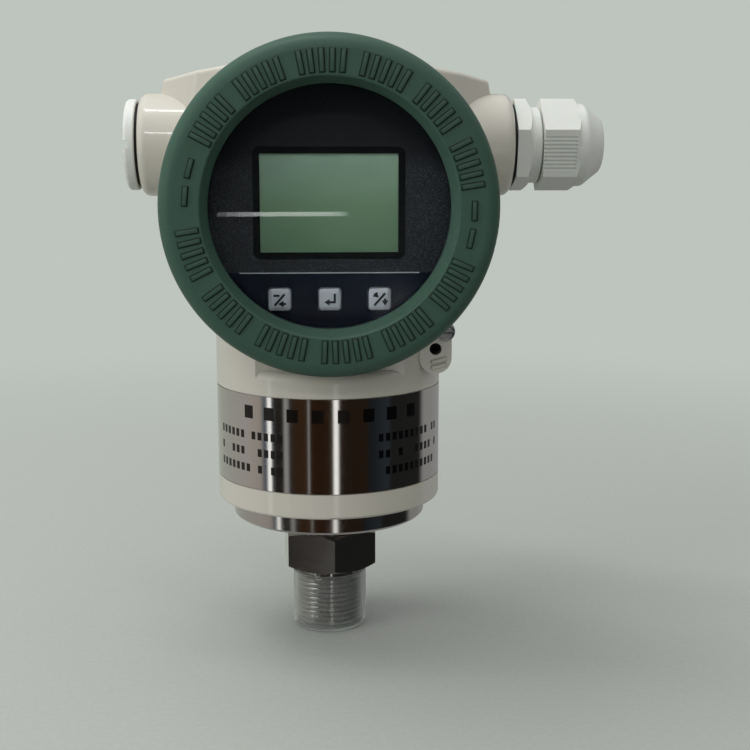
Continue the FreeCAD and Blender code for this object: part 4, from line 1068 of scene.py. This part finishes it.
# %% [markdown]
# ## Screw threads
# In the solids a thread is a plain cylinder. Here a low ridge winds round it: one section,
# carried along a helix and lowered at both ends, as a real thread runs out. It stays within
# the clearance of the bore that it turns in. Its foot is sunk a little into the cylinder, so
# that no gap shows under it.

# %% The thread helper
FOOT_HALF = 0.45               # half the ridge's foot, as a share of the pitch
CREST_HALF = 0.1               # half its crest
FOOT_SINK = 0.03
RUN_OUT = 0.5                  # turns over which each end comes down


def thread(name, body, slot_name, base, along, radius, height, pitch, length, steps=64):
    """A right-hand ridge on a shank, from base along its axis. All sizes in millimetres."""
    along = Vector(along)
    across = along.orthogonal().normalized()
    over = along.cross(across)
    bm = bmesh.new()
    count = int(length / pitch * steps)
    rings = []
    for step in range(count + 1):
        turn = step / steps
        crest = height * min(1.0, turn / RUN_OUT, (count / steps - turn) / RUN_OUT)
        section = ((-FOOT_HALF, -FOOT_SINK), (-CREST_HALF, crest),
                   (CREST_HALF, crest), (FOOT_HALF, -FOOT_SINK))
        out = across * math.cos(turn * 2 * math.pi) + over * math.sin(turn * 2 * math.pi)
        rings.append([Vector(base) + along * (turn + offset + 0.5) * pitch + out * (radius + rise)
                      for offset, rise in section])
    loft(bm, rings)
    piece(name, bm, body, FINISHES[slot_name])


# %% [markdown]
# ## Five threads
# The process thread is below the hexagon. The covers' skirts turn in the barrel from its two
# ends, on a coarser pitch and with finer steps, since they are four times as wide. The
# plug's shank turns in the left conduit entry, and the gland's neck carries its nut.

# %% Wind the threads
SKIRT_RADIUS = 39.4
SKIRT_PITCH = 2.0
SKIRT_START = 0.4              # from the skirt's edge to the ridge
ENTRY_PITCH = 1.5
ENTRY_START = 0.6

thread("process_thread_ridge", "head", "turned_steel", (0, 0, 1.0), (0, 0, 1),
       radius=9.9, height=0.16, pitch=PROCESS_PITCH, length=12.5)
skirt_ends = {"front": (span("front_cover", 1)[1], -1), "rear": (span("rear_cover", 1)[0], 1)}
for side, (edge, way) in skirt_ends.items():
    thread(f"{side}_skirt_thread", f"{side}_cover", "green_coat",
           (0, edge + way * SKIRT_START, HEAD), (0, way, 0),
           radius=SKIRT_RADIUS, height=0.24, pitch=SKIRT_PITCH, length=7.4, steps=120)
plug_start = (span("conduit_plug", 0)[1] - ENTRY_START, 0, ARM)
neck_start = (span("gland_body", 0)[1] - ENTRY_START, 0, ARM)
thread("plug_thread", "plug", "white_nylon", plug_start, (-1, 0, 0),
       radius=9.0, height=0.24, pitch=ENTRY_PITCH, length=10.4)
thread("gland_neck_thread", "head", "white_nylon", neck_start, (-1, 0, 0),
       radius=9.7, height=0.22, pitch=ENTRY_PITCH, length=8.5)

# %% [markdown]
# ## Print the sizes and finish
# The dressed model has to stay inside the solids' box, apart from a hair of relief. The
# sizes of both boxes are printed side by side.

# %% Write the sizes
dressed_box = [list(corner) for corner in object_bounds()]
for axis, name in enumerate("XYZ"):
    solid = (cad_box[1][axis] - cad_box[0][axis]) / MM
    dressed = (dressed_box[1][axis] - dressed_box[0][axis]) / MM
    print(f"{name}: solids {solid:.1f} mm, dressed {dressed:.1f} mm")
